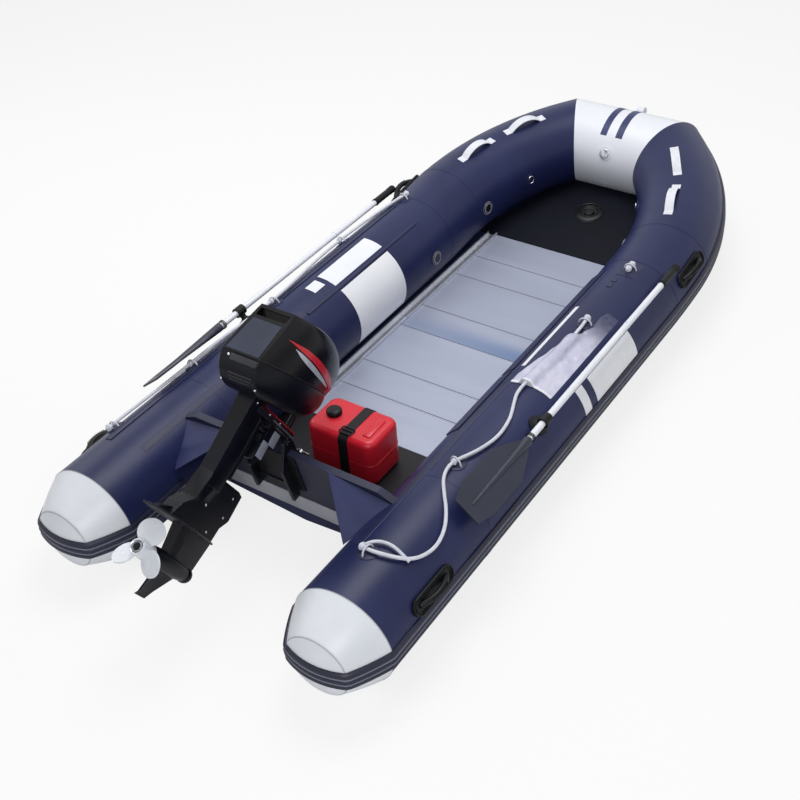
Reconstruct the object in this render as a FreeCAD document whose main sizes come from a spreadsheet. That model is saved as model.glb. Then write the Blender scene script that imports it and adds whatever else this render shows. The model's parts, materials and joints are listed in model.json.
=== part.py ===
import FreeCAD, Part
import math
import os

# Inflatable boat with an aluminium plank floor, two stowed oars, a fuel tank
# and a tilted outboard motor. Millimetres, +X starboard, +Y bow, +Z up.
# The origin is on the ground under the middle of the boat's length.
# Stations are measured forward from the seam of the stern cones.

os.makedirs("parts", exist_ok=True)
doc = FreeCAD.newDocument("InflatableBoat")
sheet = doc.addObject("Spreadsheet::Sheet", "Sizes")

SIZES = {
    # tubes
    "tube_radius": 210,
    "tube_offset": 603,
    "seam_aft": 1655,
    "side_run": 2234,
    "lift_radius": 2640,
    "lift_deg": 6.5,
    "bow_radius": 1301,
    "bow_deg": 42.35,
    "cone_length": 187,
    "cap_station": 157,
    "cap_radius": 131,
    "skin_gap": 0.3,
    "patch_wall": 1.2,
    "strake_height": 84,
    "strake_wall": 7,
    "strake_rib": 5,
    "strake_inner_run": 300,
    # white patches and dark strips glued on the tubes
    "wrap_start": 1530,
    "wrap_end": 1905,
    "stripe_start": 1425,
    "stripe_end": 1500,
    "panel_start": 1300,
    "strip_start": 210,
    "strip_end": 2234,
    "flap_wall": 5,
    "long_flap_start": 1406,
    "long_flap_end": 2508,
    "short_flap_start": 968,
    "short_flap_end": 1390,
    # hull, floor and transom
    "deck_height": 73,
    "plank_wall": 12,
    "plank_first": 245,
    "plank_narrow": 187,
    "plank_wide": 312,
    "plank_gap": 0.6,
    "plank_half_width": 358,
    "planks_start": 1055,
    "planks_end": 2710,
    "rail_width": 60,
    "rail_height": 26,
    "rail_wall": 6,
    "floor_wall": 10,
    "keel_height": 8,
    "chine_height": 45,
    "fabric_wall": 4,
    "transom_top": 430,
    "transom_bottom": 85,
    "transom_station": 470,
    "transom_wall": 30,
    "transom_rake": 12,
    "transom_half_width": 520,
    "drain_radius": 12,
    "drain_shift": 300,
    "gusset_station": 285,
    "pad_wall": 6,
    "pad_width": 270,
    "pad_height": 210,
    # fittings
    "valve_radius": 35,
    "valve_height": 8,
    "valve_aft": 2176,
    "valve_fore": 2683,
    "keel_valve_radius": 75,
    "keel_valve_station": 3045,
    "ring_station": 3041,
    "ring_wire": 3.5,
    "ring_radius": 20,
    "handle_length": 250,
    "handle_width": 72,
    "handle_bar": 12,
    "handle_rise": 34,
    "handle_aft": 275,
    "handle_fore": 2515,
    "web_length": 240,
    "web_width": 42,
    "web_rise": 38,
    "web_aft": 2850,
    "web_fore": 3150,
    "eye_width": 60,
    "eye_height": 34,
    "eye_bore": 8,
    "eye_shift": 45,
    # oars
    "oar_angle": 51,
    "oar_height": 52,
    "lock_station": 1149,
    "grip_end": 2375,
    "grip_length": 165,
    "grip_radius": 17,
    "shaft_radius": 14,
    "shaft_overlap": 40,
    "blade_start": 1000,
    "blade_tip": 560,
    "blade_width": 165,
    "blade_wall": 8,
    "lock_base_radius": 42,
    "lock_pin_radius": 8,
    "lock_pin_length": 22,
    "lock_base_height": 20,
    "collar_length": 46,
    "running_gap": 0.05,
    # grab ropes and what holds them
    "rope_radius": 7,
    "rope_height": 16,
    "knot_radius": 13,
    "knot_past": 24,
    "hoop_radius": 28,
    "anchor_radius": 40,
    # fuel tank
    "tank_length": 330,
    "tank_width": 215,
    "tank_height": 225,
    "tank_corner": 45,
    "tank_station": 887,
    "tank_shift": 20,
    "tank_cap_radius": 32,
    "strap_width": 45,
    "strap_wall": 2.5,
    # outboard motor, measured from the tilt pin
    "motor_shift": -75,
    "tilt_deg": 60.5,
    "pin_ahead": 19,
    "pin_rise": 45,
    "pin_radius": 9,
    "hub_wall": 9,
    "swivel_back": 124,
    "swivel_radius": 27,
    "swivel_shaft": 15,
    "swivel_low": 235,
    "swivel_high": 20,
    "web_wall": 12,
    "bridge_wall": 24,
    "cheek_wall": 14,
    "cheek_inner": 84,
    "cheek_drop": 245,
    "arm_drop": 150,
    "screw_radius": 7,
    "screw_length": 62,
    "screw_wing": 92,
    "moving_gap": 6,
    "leg_top": 95,
    "leg_chord": 92,
    "foot_top": 250,
    "foot_front": 118,
    "foot_back": 225,
    "plate_drop": 463,
    "leg_half_width": 37,
    "plate_wall": 7,
    "plate_half_width": 74,
    "plate_back": 324,
    "hub_drop": 614,
    "torpedo_radius": 38,
    "skeg_drop": 757,
    "skeg_wall": 8,
    "drive_shaft_radius": 8,
    "propeller_radius": 117.5,
    "propeller_hub": 36,
    "propeller_length": 75,
    "propeller_back": 190,
    "blade_thickness": 7,
    "nut_radius": 17,
    "cowl_base": 152,
    "cowl_lean": 11,
    "cowl_length": 548,
    "cowl_width": 280,
    "cowl_height": 212,
    "cowl_back": 290,
    "pan_depth": 120,
    "rear_width": 172,
    "tiller_radius": 13,
    "tiller_grip_radius": 17,
    "tiller_length": 270,
    "tiller_grip_length": 115,
    "tiller_shift": 50,
    "yoke_height": 26,
    "yoke_width": 90,
}


for number, (name, size) in enumerate(SIZES.items(), start=1):
    sheet.set(f"A{number}", name)
    sheet.set(f"B{number}", str(size))
    sheet.setAlias(f"B{number}", name)
doc.recompute()


def size(name):
    return float(sheet.get(name))


def station(name):
    """Y of a distance measured forward from the seam of the stern cones."""
    return size(name) - size("seam_aft")


X_AXIS = FreeCAD.Vector(1, 0, 0)
Y_AXIS = FreeCAD.Vector(0, 1, 0)
Z_AXIS = FreeCAD.Vector(0, 0, 1)
ORIGIN = FreeCAD.Vector(0, 0, 0)
SIDES = {"port": -1, "starboard": 1}


def vec(x, y, z):
    return FreeCAD.Vector(x, y, z)


def place(point, *turns):
    """A placement at a point, turned by (axis, degrees) pairs, outermost first."""
    rotation = FreeCAD.Rotation()
    for axis, degrees in turns:
        rotation = rotation.multiply(FreeCAD.Rotation(axis, degrees))
    return FreeCAD.Placement(point, rotation)


def frame_place(point, x_dir, y_dir, z_dir):
    matrix = FreeCAD.Matrix(x_dir.x, y_dir.x, z_dir.x, point.x,
                            x_dir.y, y_dir.y, z_dir.y, point.y,
                            x_dir.z, y_dir.z, z_dir.z, point.z,
                            0, 0, 0, 1)
    return FreeCAD.Placement(matrix)


def primitive(kind, label, where, **formulas):
    """A Part primitive whose sizes are bound to the sheet."""
    piece = doc.addObject(kind, label)
    for prop, formula in formulas.items():
        piece.setExpression(prop, formula)
    piece.Placement = where
    return piece


def fused(label, pieces):
    joined = doc.addObject("Part::MultiFuse", label)
    joined.Shapes = pieces
    return joined


def cut(label, base, tool):
    result = doc.addObject("Part::Cut", label)
    result.Base = base
    result.Tool = tool
    return result


def feature(label, shape, where=None):
    piece = doc.addObject("Part::Feature", label)
    piece.Shape = shape
    if where is not None:
        piece.Placement = where
    return piece


def edges_of(outline, to_vector):
    """Edges of a closed outline: each item is a point, or (middle, end) of an arc."""
    edges = []
    start = outline[0]
    for step in list(outline[1:]) + [outline[0]]:
        if isinstance(step[0], tuple):
            middle, end = step
            edges.append(Part.Arc(to_vector(start), to_vector(middle), to_vector(end)))
        else:
            end = step
            edges.append(Part.LineSegment(to_vector(start), to_vector(end)))
        start = end
    return edges


def sketch_in(body, role, outlines, offset=0):
    """A sketch of closed outlines on one of the body's own origin planes."""
    sketch = body.newObject("Sketcher::SketchObject", body.Name + "_sketch")
    plane = [item for item in body.Origin.OriginFeatures if item.Role == role][0]
    sketch.AttachmentSupport = [(plane, "")]
    sketch.MapMode = "FlatFace"
    sketch.AttachmentOffset = place(vec(0, 0, offset))
    for outline in outlines:
        for edge in edges_of(outline, lambda p: vec(p[0], p[1], 0)):
            sketch.addGeometry(edge, False)
    return sketch


def padded(label, role, outlines, length, where, symmetric=False):
    """A body with one pad; XY_Plane pads along Z, XZ_Plane along -Y, YZ_Plane along X."""
    body = doc.addObject("PartDesign::Body", label)
    sketch = sketch_in(body, role, outlines)
    pad = body.newObject("PartDesign::Pad", label + "_pad")
    pad.Profile = sketch
    pad.setExpression("Length", length)
    if symmetric:
        pad.SideType = "Symmetric"
    body.Placement = where
    return body


def spun(label, role, outline, where, sweep="360"):
    """A body revolved about its sketch's vertical axis."""
    body = doc.addObject("PartDesign::Body", label)
    sketch = sketch_in(body, role, [outline])
    turn = body.newObject("PartDesign::Revolution", label + "_turn")
    turn.Profile = sketch
    turn.ReferenceAxis = (sketch, ["V_Axis"])
    turn.setExpression("Angle", sweep)
    body.Placement = where
    return body


def lofted(label, role, sections, where, ruled=False):
    """A body lofted through (offset, outline) sections."""
    body = doc.addObject("PartDesign::Body", label)
    sketches = [sketch_in(body, role, [outline], offset) for offset, outline in sections]
    loft = body.newObject("PartDesign::AdditiveLoft", label + "_loft")
    loft.Profile = sketches[0]
    loft.Sections = sketches[1:]
    loft.Ruled = ruled
    body.Placement = where
    return body


nodes = {}


def node(label, piece):
    """Name the object that is written out as one sub-part."""
    piece.Label = label
    nodes[label] = piece
    return piece


# Path of the tubes' centrelines
R = size("tube_radius")
OFFSET = size("tube_offset")
LIFT = math.radians(size("lift_deg"))
TURN = math.radians(size("bow_deg"))
LIFT_R = size("lift_radius")
BOW_R = size("bow_radius")
SEAM_Y = station("seam_aft") - size("seam_aft")
LIFT_Y = station("side_run")
BEND_Y = LIFT_Y + LIFT_R * math.sin(LIFT)
BEND_Z = R + LIFT_R * (1 - math.cos(LIFT))
RISE_DIR = vec(0, math.cos(LIFT), math.sin(LIFT))
RISE_UP = vec(0, -math.sin(LIFT), math.cos(LIFT))


def path_point(side, y):
    """Centreline point, tangent, outboard and up vectors of a tube at a given Y."""
    if y <= LIFT_Y:
        return vec(side * OFFSET, y, R), Y_AXIS, X_AXIS * side, Z_AXIS
    if y <= BEND_Y:
        angle = math.asin((y - LIFT_Y) / LIFT_R)
        point = vec(side * OFFSET, y, R + LIFT_R * (1 - math.cos(angle)))
        along = vec(0, math.cos(angle), math.sin(angle))
        return point, along, X_AXIS * side, vec(0, -math.sin(angle), math.cos(angle))
    angle = min(math.asin(min(1, (y - BEND_Y) / math.cos(LIFT) / BOW_R)), TURN)
    out = BOW_R * (1 - math.cos(angle))
    point = vec(side * (OFFSET - out), BEND_Y, BEND_Z) + RISE_DIR * (BOW_R * math.sin(angle))
    along = vec(-side * math.sin(angle), 0, 0) + RISE_DIR * math.cos(angle)
    outboard = vec(side * math.cos(angle), 0, 0) + RISE_DIR * math.sin(angle)
    return point, along, outboard, RISE_UP


def on_tube(side, y, degrees, height=0):
    """Placement on the tube's skin: Z away from it, Y along it."""
    point, along, outboard, up = path_point(side, y)
    angle = math.radians(degrees)
    normal = outboard * math.cos(angle) + up * math.sin(angle)
    across = along.cross(normal)
    return frame_place(point + normal * (R + height), across, along, normal)


CORNER_X = OFFSET - BOW_R * (1 - math.cos(TURN))
CORNER = RISE_DIR * (BOW_R * math.sin(TURN)) + vec(0, BEND_Y, BEND_Z)


def mitre_place(side):
    """Placement whose Z axis leaves the side tube through the bow seam."""
    along = vec(-side * math.sin(TURN), 0, 0) + RISE_DIR * math.cos(TURN)
    normal = along + vec(-side, 0, 0)
    normal.normalize()
    across = RISE_UP.cross(normal)
    return frame_place(vec(side * CORNER_X, CORNER.y, CORNER.z), across, RISE_UP, normal)


def half_space(label, side, forward):
    """A block that reaches several radii past the bow seam, on either side of it."""
    block = primitive("Part::Box", label, FreeCAD.Placement(),
                      Length="Sizes.tube_radius * 5", Width="Sizes.tube_radius * 5",
                      Height="Sizes.tube_radius * 5")
    reach = R * 5 / 2
    shift = vec(-reach, -reach, 0 if forward else -2 * reach)
    block.Placement = mitre_place(side).multiply(place(shift))
    return block


def bow_end_place(side):
    point, along, outboard, up = path_point(side, BEND_Y + BOW_R)
    return frame_place(point, outboard, up * side * -1, along * 1) if side > 0 else \
        frame_place(point, outboard, up, along)


# Side tubes: a straight run, a gentle lift, the bow curve and the mitred end
def side_tube(label, side, radius):
    straight = primitive("Part::Cylinder", label + "_run",
                         place(vec(side * OFFSET, SEAM_Y, R), (X_AXIS, -90)),
                         Radius=radius, Height="Sizes.side_run")
    lift = primitive("Part::Torus", label + "_lift",
                     place(vec(side * OFFSET, LIFT_Y, R + LIFT_R), (Y_AXIS, 90)),
                     Radius1="Sizes.lift_radius", Radius2=radius, Angle3="Sizes.lift_deg")
    turn = 0 if side > 0 else 180 - size("bow_deg")
    bend = primitive("Part::Torus", label + "_bend",
                     place(vec(side * (OFFSET - BOW_R), BEND_Y, BEND_Z),
                           (X_AXIS, size("lift_deg")), (Z_AXIS, turn)),
                     Radius1="Sizes.bow_radius", Radius2=radius, Angle3="Sizes.bow_deg")
    end = primitive("Part::Cylinder", label + "_end", bow_end_place(side),
                    Radius=radius, Height="Sizes.tube_radius")
    whole = fused(label + "_whole", [straight, lift, bend, end])
    return cut(label, whole, half_space(label + "_mitre", side, True))


for side_name, side in SIDES.items():
    node(side_name + "_tube", side_tube(side_name + "_tube", side, "Sizes.tube_radius"))


# Bow tube between the two mitred seams
def bow_cylinder(label, radius):
    half = CORNER_X + R
    tube = primitive("Part::Cylinder", label + "_run",
                     place(vec(-half, CORNER.y, CORNER.z), (Y_AXIS, 90)), Radius=radius)
    tube.Height = 2 * half
    first = cut(label + "_port", tube, half_space(label + "_port_mitre", -1, False))
    return cut(label, first, half_space(label + "_starboard_mitre", 1, False))


node("bow_tube", bow_cylinder("bow_tube", "Sizes.tube_radius"))


# Fat copies of the tubes trim what is glued between them
def tube_tool(label):
    radius = "Sizes.tube_radius + Sizes.skin_gap"
    port = side_tube(label + "_port", -1, radius)
    starboard = side_tube(label + "_starboard", 1, radius)
    bow = bow_cylinder(label + "_bow", radius)
    return fused(label, [port, starboard, bow])


TUBE_TRIM = tube_tool("tube_trim")


# Stern cones: a tapering barrel and a rounder moulded cap
CONE_MIDDLE_SHARE = 0.5
BARREL_SHARE = 0.44


def cone_outline(extra):
    """Half profile grown by extra: (radius, distance aft of the seam, negative)."""
    cap_r = size("cap_radius")
    cap_y = size("cap_station")
    tip = size("cone_length")
    centre = (tip ** 2 - cap_y ** 2 - cap_r ** 2) / (2 * (tip - cap_y))
    dome = tip - centre
    edge = math.atan2(cap_r, cap_y - centre)
    grown = dome + extra
    cap_edge = (grown * math.sin(edge), -centre - grown * math.cos(edge))
    cap_middle = (grown * math.sin(edge / 2), -centre - grown * math.cos(edge / 2))
    barrel_middle = (R + (cap_r - R) * BARREL_SHARE + extra, -cap_y * CONE_MIDDLE_SHARE)
    return [(0, 0), (R + extra, 0), (barrel_middle, cap_edge), (cap_middle, (0, -tip - extra))]


cones = [spun(side_name + "_stern_cone", "XY_Plane", cone_outline(0),
              place(vec(side * OFFSET, SEAM_Y, R))) for side_name, side in SIDES.items()]
node("stern_cones", fused("stern_cones", cones))

# Rub strake: a ribbed strip round the outside and round both cones
STRAKE_RIB_SHARES = (-0.32, 0, 0.32)
STRAKE_RIB_HALF_SHARE = 0.09


def strake_profile():
    """Outline in (outward, upward), measured from the tube's centre."""
    half = size("strake_height") / 2
    inner = R + size("skin_gap")
    wall = size("strake_wall")
    rib = size("strake_rib")
    inner_edge = math.sqrt(inner ** 2 - half ** 2)
    face = inner + wall
    rib_half = size("strake_height") * STRAKE_RIB_HALF_SHARE
    outline = [(inner_edge, -half), (face - wall / 2, -half)]
    for share in STRAKE_RIB_SHARES:
        middle = share * 2 * half
        outline.append((face, middle - rib_half))
        outline.append(((face + rib, middle), (face, middle + rib_half)))
    outline.append((face - wall / 2, half))
    outline.append((inner_edge, half))
    outline.append(((inner, 0), (inner_edge, -half)))
    return outline


def profile_face(point, outboard, up):
    outline = strake_profile()
    start = outline[0]
    edges = []
    for step in outline[1:]:
        if isinstance(step[0], tuple):
            middle, end = step
            edges.append(Part.Arc(*[point + outboard * p[0] + up * p[1]
                                    for p in (start, middle, end)]).toShape())
        else:
            end = step
            edges.append(Part.LineSegment(*[point + outboard * p[0] + up * p[1]
                                            for p in (start, end)]).toShape())
        start = end
    return Part.Face(Part.Wire(edges))


def grown_cone(side, extra):
    """The stern cone grown by extra all over, as a turned solid."""
    edges = edges_of(cone_outline(extra), lambda p: vec(p[0], p[1], 0))
    face = Part.Face(Part.Wire([edge.toShape() for edge in edges]))
    solid = face.revolve(ORIGIN, Y_AXIS, 360)
    solid.translate(vec(side * OFFSET, SEAM_Y, R))
    return solid


def cone_band(side):
    """The strake's stretch round a cone: a slice of a shell over the cone."""
    half = size("strake_height") / 2
    gap = size("skin_gap")
    reach = R * 2
    slab = Part.makeBox(2 * reach, reach, 2 * half,
                        vec(side * OFFSET - reach, SEAM_Y - reach, R - half))
    shell = grown_cone(side, gap + size("strake_wall")).cut(grown_cone(side, gap))
    return shell.common(slab)


def mitre_tool(side, forward):
    """A plain block on one side of the bow seam."""
    span = R * 5
    shift = vec(-span / 2, -span / 2, 0 if forward else -span)
    tool = Part.makeBox(span, span, span)
    tool.Placement = mitre_place(side).multiply(place(shift))
    return tool


def strake_side(side):
    seam_point = vec(side * OFFSET, SEAM_Y, R)
    run = profile_face(seam_point, X_AXIS * side, Z_AXIS).extrude(vec(0, size("side_run"), 0))
    inner = profile_face(seam_point, X_AXIS * -side, Z_AXIS).extrude(
        vec(0, size("strake_inner_run"), 0))
    start = profile_face(vec(side * OFFSET, LIFT_Y, R), X_AXIS * side, Z_AXIS)
    lift = start.revolve(vec(side * OFFSET, LIFT_Y, R + LIFT_R), X_AXIS, size("lift_deg"))
    bend_point = vec(side * OFFSET, BEND_Y, BEND_Z)
    bend = profile_face(bend_point, X_AXIS * side, RISE_UP).revolve(
        vec(side * (OFFSET - BOW_R), BEND_Y, BEND_Z), RISE_UP * side, size("bow_deg"))
    point, along, outboard, up = path_point(side, BEND_Y + BOW_R)
    end = profile_face(point, outboard, up).extrude(along * R)
    bow_part = bend.fuse(end).cut(mitre_tool(side, True))
    return run.fuse([inner, lift, bow_part, cone_band(side)])


def strake_bow():
    half = CORNER_X + R
    face = profile_face(vec(-half, CORNER.y, CORNER.z), RISE_DIR, RISE_UP)
    strip = face.extrude(vec(2 * half, 0, 0))
    for side in SIDES.values():
        strip = strip.cut(mitre_tool(side, False))
    return strip


strake = strake_side(1).fuse([strake_side(-1), strake_bow()])
node("rub_strake", feature("rub_strake", strake))


# Thin skins glued on the tubes, as sectors of a hollow cylinder
def skin_sector(side, y_start, y_end, degrees, inner, outer):
    """Sector between two angles, counted from outboard over the top."""
    length = y_end - y_start
    low, high = degrees
    ring = Part.makeCylinder(outer, length, ORIGIN, Z_AXIS, high - low).cut(
        Part.makeCylinder(inner, length, ORIGIN, Z_AXIS, high - low))
    turn = low if side > 0 else 180 - high
    point = vec(side * OFFSET, y_end, R)
    ring.Placement = place(point, (X_AXIS, 90), (Z_AXIS, turn))
    return ring


SKIN_IN = R + size("skin_gap")
SKIN_OUT = SKIN_IN + size("patch_wall")
OUTER_DEGREES = (13, 44)
INNER_DEGREES = {"port": (123, 206), "starboard": (149, 206)}
TOP_DEGREES = {"port": (86, 114), "starboard": (59, 111)}
SMALL_DEGREES = {"port": (88, 104), "starboard": (112, 117)}
bands = []
for side_name, side in SIDES.items():
    stripe = (station("stripe_start"), station("stripe_end"))
    wrap = (station("wrap_start"), station("wrap_end"))
    panel = wrap if side < 0 else (station("panel_start"), wrap[1])
    small = stripe if side < 0 else (stripe[0], wrap[1])
    for (y0, y1), degrees in ((wrap, OUTER_DEGREES), (stripe, OUTER_DEGREES),
                              (wrap, INNER_DEGREES[side_name]),
                              (panel, TOP_DEGREES[side_name]),
                              (small, SMALL_DEGREES[side_name])):
        bands.append(skin_sector(side, y0, y1, degrees, SKIN_IN, SKIN_OUT))
band_block = feature("wrap_band_block", Part.makeCompound(bands))

# Strip under the port rope, and the flaps that a seat slides on
PORT_STRIP_DEGREES = (67, 76)
PORT_FLAP_DEGREES = (117, 121)
STARBOARD_FLAP_DEGREES = (125, 147)
strips = []
STRIP_OUT = SKIN_OUT + size("patch_wall")
FLAP_OUT = SKIN_IN + size("flap_wall")
strips.append(skin_sector(-1, station("strip_start"), station("strip_end"),
                          PORT_STRIP_DEGREES, SKIN_IN, STRIP_OUT))
strips.append(skin_sector(-1, station("panel_start"), station("valve_aft"),
                          PORT_FLAP_DEGREES, SKIN_IN, FLAP_OUT))
for start, end in (("long_flap_start", "long_flap_end"), ("short_flap_start", "short_flap_end")):
    forward = station(end) if size(end) < size("side_run") else LIFT_Y
    strips.append(skin_sector(1, station(start), forward, STARBOARD_FLAP_DEGREES,
                              SKIN_IN, FLAP_OUT))
strip_block = feature("tube_strip_block", Part.makeCompound(strips))

# Hull bottom: the fabric V between the tubes, closed over its air keel
DECK = size("deck_height")
DECK_UNDER = DECK - size("plank_wall") - size("skin_gap")
HULL_WIDTH_SHARE = 0.796
HALF = OFFSET * HULL_WIDTH_SHARE
CHINE = size("chine_height")
KEEL = size("keel_height")
HULL_START_SHARE = 0.18
BOW_TOP_SHARE = 0.98
BOW_MIDDLE_SHARE = 0.89
HULL_START = station("transom_station") + size("transom_top") * HULL_START_SHARE
HULL_END = CORNER.y
BOW_LIFT = CORNER.z - R
PLANK_END_SHARE = ((station("planks_end") + size("floor_wall") - HULL_START)
                   / (HULL_END - HULL_START))
MID_TOP_SHARE = BOW_TOP_SHARE * (BOW_MIDDLE_SHARE - PLANK_END_SHARE) / (1 - PLANK_END_SHARE)
# along, half width, top, chine and keel, as shares of length, width and bow lift
HULL_SHARES = ((0.0, 1.0, 0.0, 0.0, 0.0), (0.6, 1.0, 0.0, 0.0, 0.0),
               (PLANK_END_SHARE, 1.0, 0.0, 0.03, 0.12),
               (BOW_MIDDLE_SHARE, 0.82, MID_TOP_SHARE, 0.42, 0.45),
               (1.0, 0.46, BOW_TOP_SHARE, 0.94, 0.9))
hull_sections = []
for along_share, width_share, top_share, chine_share, keel_share in HULL_SHARES:
    y = HULL_START + (HULL_END - HULL_START) * along_share
    w = HALF * width_share
    points = [vec(-w, y, DECK_UNDER + BOW_LIFT * top_share),
              vec(-w, y, CHINE + BOW_LIFT * chine_share),
              vec(0, y, KEEL + BOW_LIFT * keel_share),
              vec(w, y, CHINE + BOW_LIFT * chine_share),
              vec(w, y, DECK_UNDER + BOW_LIFT * top_share)]
    hull_sections.append(Part.makePolygon(points + points[:1]))
hull_block = feature("hull_block", Part.makeLoft(hull_sections, True, True))
node("hull_bottom", cut("hull_bottom", hull_block, TUBE_TRIM))

# Transom board, raked aft, with its drain, motor pads and bottom flap
RAKE = size("transom_rake")
BOARD_TOP = size("transom_top")
BOARD_LENGTH = (BOARD_TOP - size("transom_bottom")) / math.cos(math.radians(RAKE))
BOARD_Y = station("transom_station") + BOARD_LENGTH * math.sin(math.radians(RAKE))
TRANSOM = place(vec(0, BOARD_Y, size("transom_bottom")), (X_AXIS, RAKE))
BOARD_WALL = size("transom_wall")
BOARD_LOW_SHARE = 0.9
BOARD_CORNER_SHARES = (0.3, 0.88, 0.85)
DRAIN_SHARE = 0.14
FLAP_HOLE_SHARE = 1.25
FLAP_SHARES = (0.84, 0.4, 0.23)


def transom_at(x, forward, up):
    return TRANSOM.multiply(place(vec(x, forward, up)))


half_top = size("transom_half_width")
half_low = half_top * BOARD_LOW_SHARE
low_corner, high_corner, top_corner = BOARD_CORNER_SHARES
board_half = [(half_low, -CHINE), (half_top, BOARD_LENGTH * low_corner),
              (half_top, BOARD_LENGTH * high_corner), (half_top * top_corner, BOARD_LENGTH)]
board_outline = board_half + [(-x, z) for x, z in reversed(board_half)]
board = padded("transom_block", "XZ_Plane", [board_outline], "Sizes.transom_wall",
               transom_at(0, BOARD_WALL, 0))


def drain_tool(label, radius):
    tool = primitive("Part::Cylinder", label, FreeCAD.Placement(),
                     Radius=radius, Height="Sizes.transom_wall * 3")
    tool.Placement = transom_at(size("drain_shift"), -BOARD_WALL,
                                BOARD_LENGTH * DRAIN_SHARE).multiply(place(ORIGIN, (X_AXIS, -90)))
    return tool


drilled = cut("transom_drilled", board, drain_tool("drain_tool", "Sizes.drain_radius"))
board_clear = cut("transom_clear", drilled, TUBE_TRIM)
deck_tool = feature("deck_tool", Part.makeBox(
    R * 6, R * 4, R * 2, vec(-R * 3, HULL_START - R * 2, DECK_UNDER + size("skin_gap") - R * 2)))
node("transom_board", cut("transom_board", board_clear, deck_tool))

PAD_W = size("pad_width") / 2
PAD_H = size("pad_height")
SHIFT = size("motor_shift")
pad_outline = [(-PAD_W, -PAD_H), (PAD_W, -PAD_H), (PAD_W, 0), (-PAD_W, 0)]
aft_pad = padded("motor_pad_aft", "XZ_Plane", [pad_outline], "Sizes.pad_wall",
                 transom_at(SHIFT, -size("skin_gap"), BOARD_LENGTH))
fore_pad = padded("motor_pad_fore", "XZ_Plane", [pad_outline], "Sizes.pad_wall",
                  transom_at(SHIFT, BOARD_WALL + size("pad_wall") + size("skin_gap"),
                             BOARD_LENGTH))
doc.recompute()
pads = Part.makeCompound([aft_pad.Shape, fore_pad.Shape])
node("motor_pads", feature("motor_pads", pads))

flap_w = half_low * FLAP_SHARES[0]
flap_low = -CHINE * FLAP_SHARES[1]
flap_high = BOARD_LENGTH * FLAP_SHARES[2]
flap = padded("transom_flap", "XZ_Plane",
              [[(-flap_w, flap_low), (flap_w, flap_low), (flap_w, flap_high),
                (-flap_w, flap_high)]],
              "Sizes.fabric_wall", transom_at(0, -size("skin_gap"), 0))
flap_tool = drain_tool("flap_drain_tool", f"Sizes.drain_radius * {FLAP_HOLE_SHARE}")
flap_drain = cut("transom_flap_cut", flap, flap_tool)

# Gussets: fabric triangles from the transom's top to the tubes
GUSSET_SHARES = (0.42, 0.98, 0.93, 0.45)


def gusset(side):
    top_in, top_out, aft_in, aft_up = GUSSET_SHARES
    inner_top = TRANSOM.multVec(vec(side * half_top * top_in, 0, BOARD_LENGTH))
    outer_top = TRANSOM.multVec(vec(side * half_top * top_out, 0, BOARD_LENGTH - CHINE))
    aft = vec(side * (OFFSET - R * aft_in), station("gusset_station"), R + R * aft_up)
    face = Part.Face(Part.makePolygon([inner_top, outer_top, aft, inner_top]))
    normal = face.normalAt(0, 0)
    if normal.z < 0:
        normal = normal * -1
    solid = face.extrude(normal * size("fabric_wall"))
    solid.translate(vec(0, -1, 0) * size("skin_gap"))
    return solid


gussets = feature("gusset_pair", Part.makeCompound([gusset(side) for side in SIDES.values()]))
board_block = padded("gusset_board_tool", "XZ_Plane",
                     [[(-half_top, -CHINE), (half_top, -CHINE),
                       (half_top, BOARD_LENGTH + CHINE), (-half_top, BOARD_LENGTH + CHINE)]],
                     "Sizes.transom_wall", transom_at(0, BOARD_WALL, 0))
trimmed = cut("gusset_trimmed", gussets, board_block)
gusset_clear = cut("gusset_clear", trimmed, TUBE_TRIM)
node("transom_fabric", fused("transom_fabric", [flap_drain, gusset_clear]))

# Floor: aluminium planks, wide and narrow in turn, held between two channel rails
PLANK_W = size("plank_half_width")
PLANK_GROOVE_SHARE = 0.12
plank_gap = size("plank_gap")
plank_wall = size("plank_wall")
groove = plank_wall * PLANK_GROOVE_SHARE
seams = [station("planks_start")]
for run in ("plank_first", "plank_narrow", "plank_wide", "plank_narrow", "plank_wide",
            "plank_narrow"):
    seams.append(seams[-1] + size(run))
seams.append(station("planks_end"))
planks = []
for y0, y1 in zip([y + plank_gap for y in seams[:-1]], seams[1:]):
    points = [vec(-PLANK_W, y0, DECK - plank_wall), vec(-PLANK_W, y0, DECK - groove),
              vec(-PLANK_W, y0 + groove, DECK), vec(-PLANK_W, y1 - groove, DECK),
              vec(-PLANK_W, y1, DECK - groove), vec(-PLANK_W, y1, DECK - plank_wall)]
    face = Part.Face(Part.makePolygon(points + points[:1]))
    planks.append(face.extrude(vec(2 * PLANK_W, 0, 0)))
node("floor_planks", feature("floor_planks", Part.makeCompound(planks)))

RAIL_EDGE_SHARE = 1.6
RAIL_OUTER_SHARE = 0.8
rail_in = PLANK_W + size("skin_gap")
rail_out = rail_in + size("rail_width")
rail_low = DECK - plank_wall
rail_floor = rail_low + size("rail_wall")
rail_top = rail_low + size("rail_height")
rail_outer_top = rail_low + size("rail_height") * RAIL_OUTER_SHARE
rail_edge = size("rail_wall") * RAIL_EDGE_SHARE
rails = []
for side in SIDES.values():
    outline = [(rail_in, rail_low), (rail_in, rail_top), (rail_in + rail_edge, rail_top),
               (rail_in + rail_edge, rail_floor), (rail_out - rail_edge, rail_floor),
               (rail_out - rail_edge, rail_outer_top), (rail_out, rail_outer_top),
               (rail_out, rail_low)]
    points = [vec(side * x, station("planks_start"), z) for x, z in outline]
    face = Part.Face(Part.makePolygon(points + points[:1]))
    rails.append(face.extrude(vec(0, size("planks_end") - size("planks_start"), 0)))
node("floor_rails", feature("floor_rails", Part.makeCompound(rails)))

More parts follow.
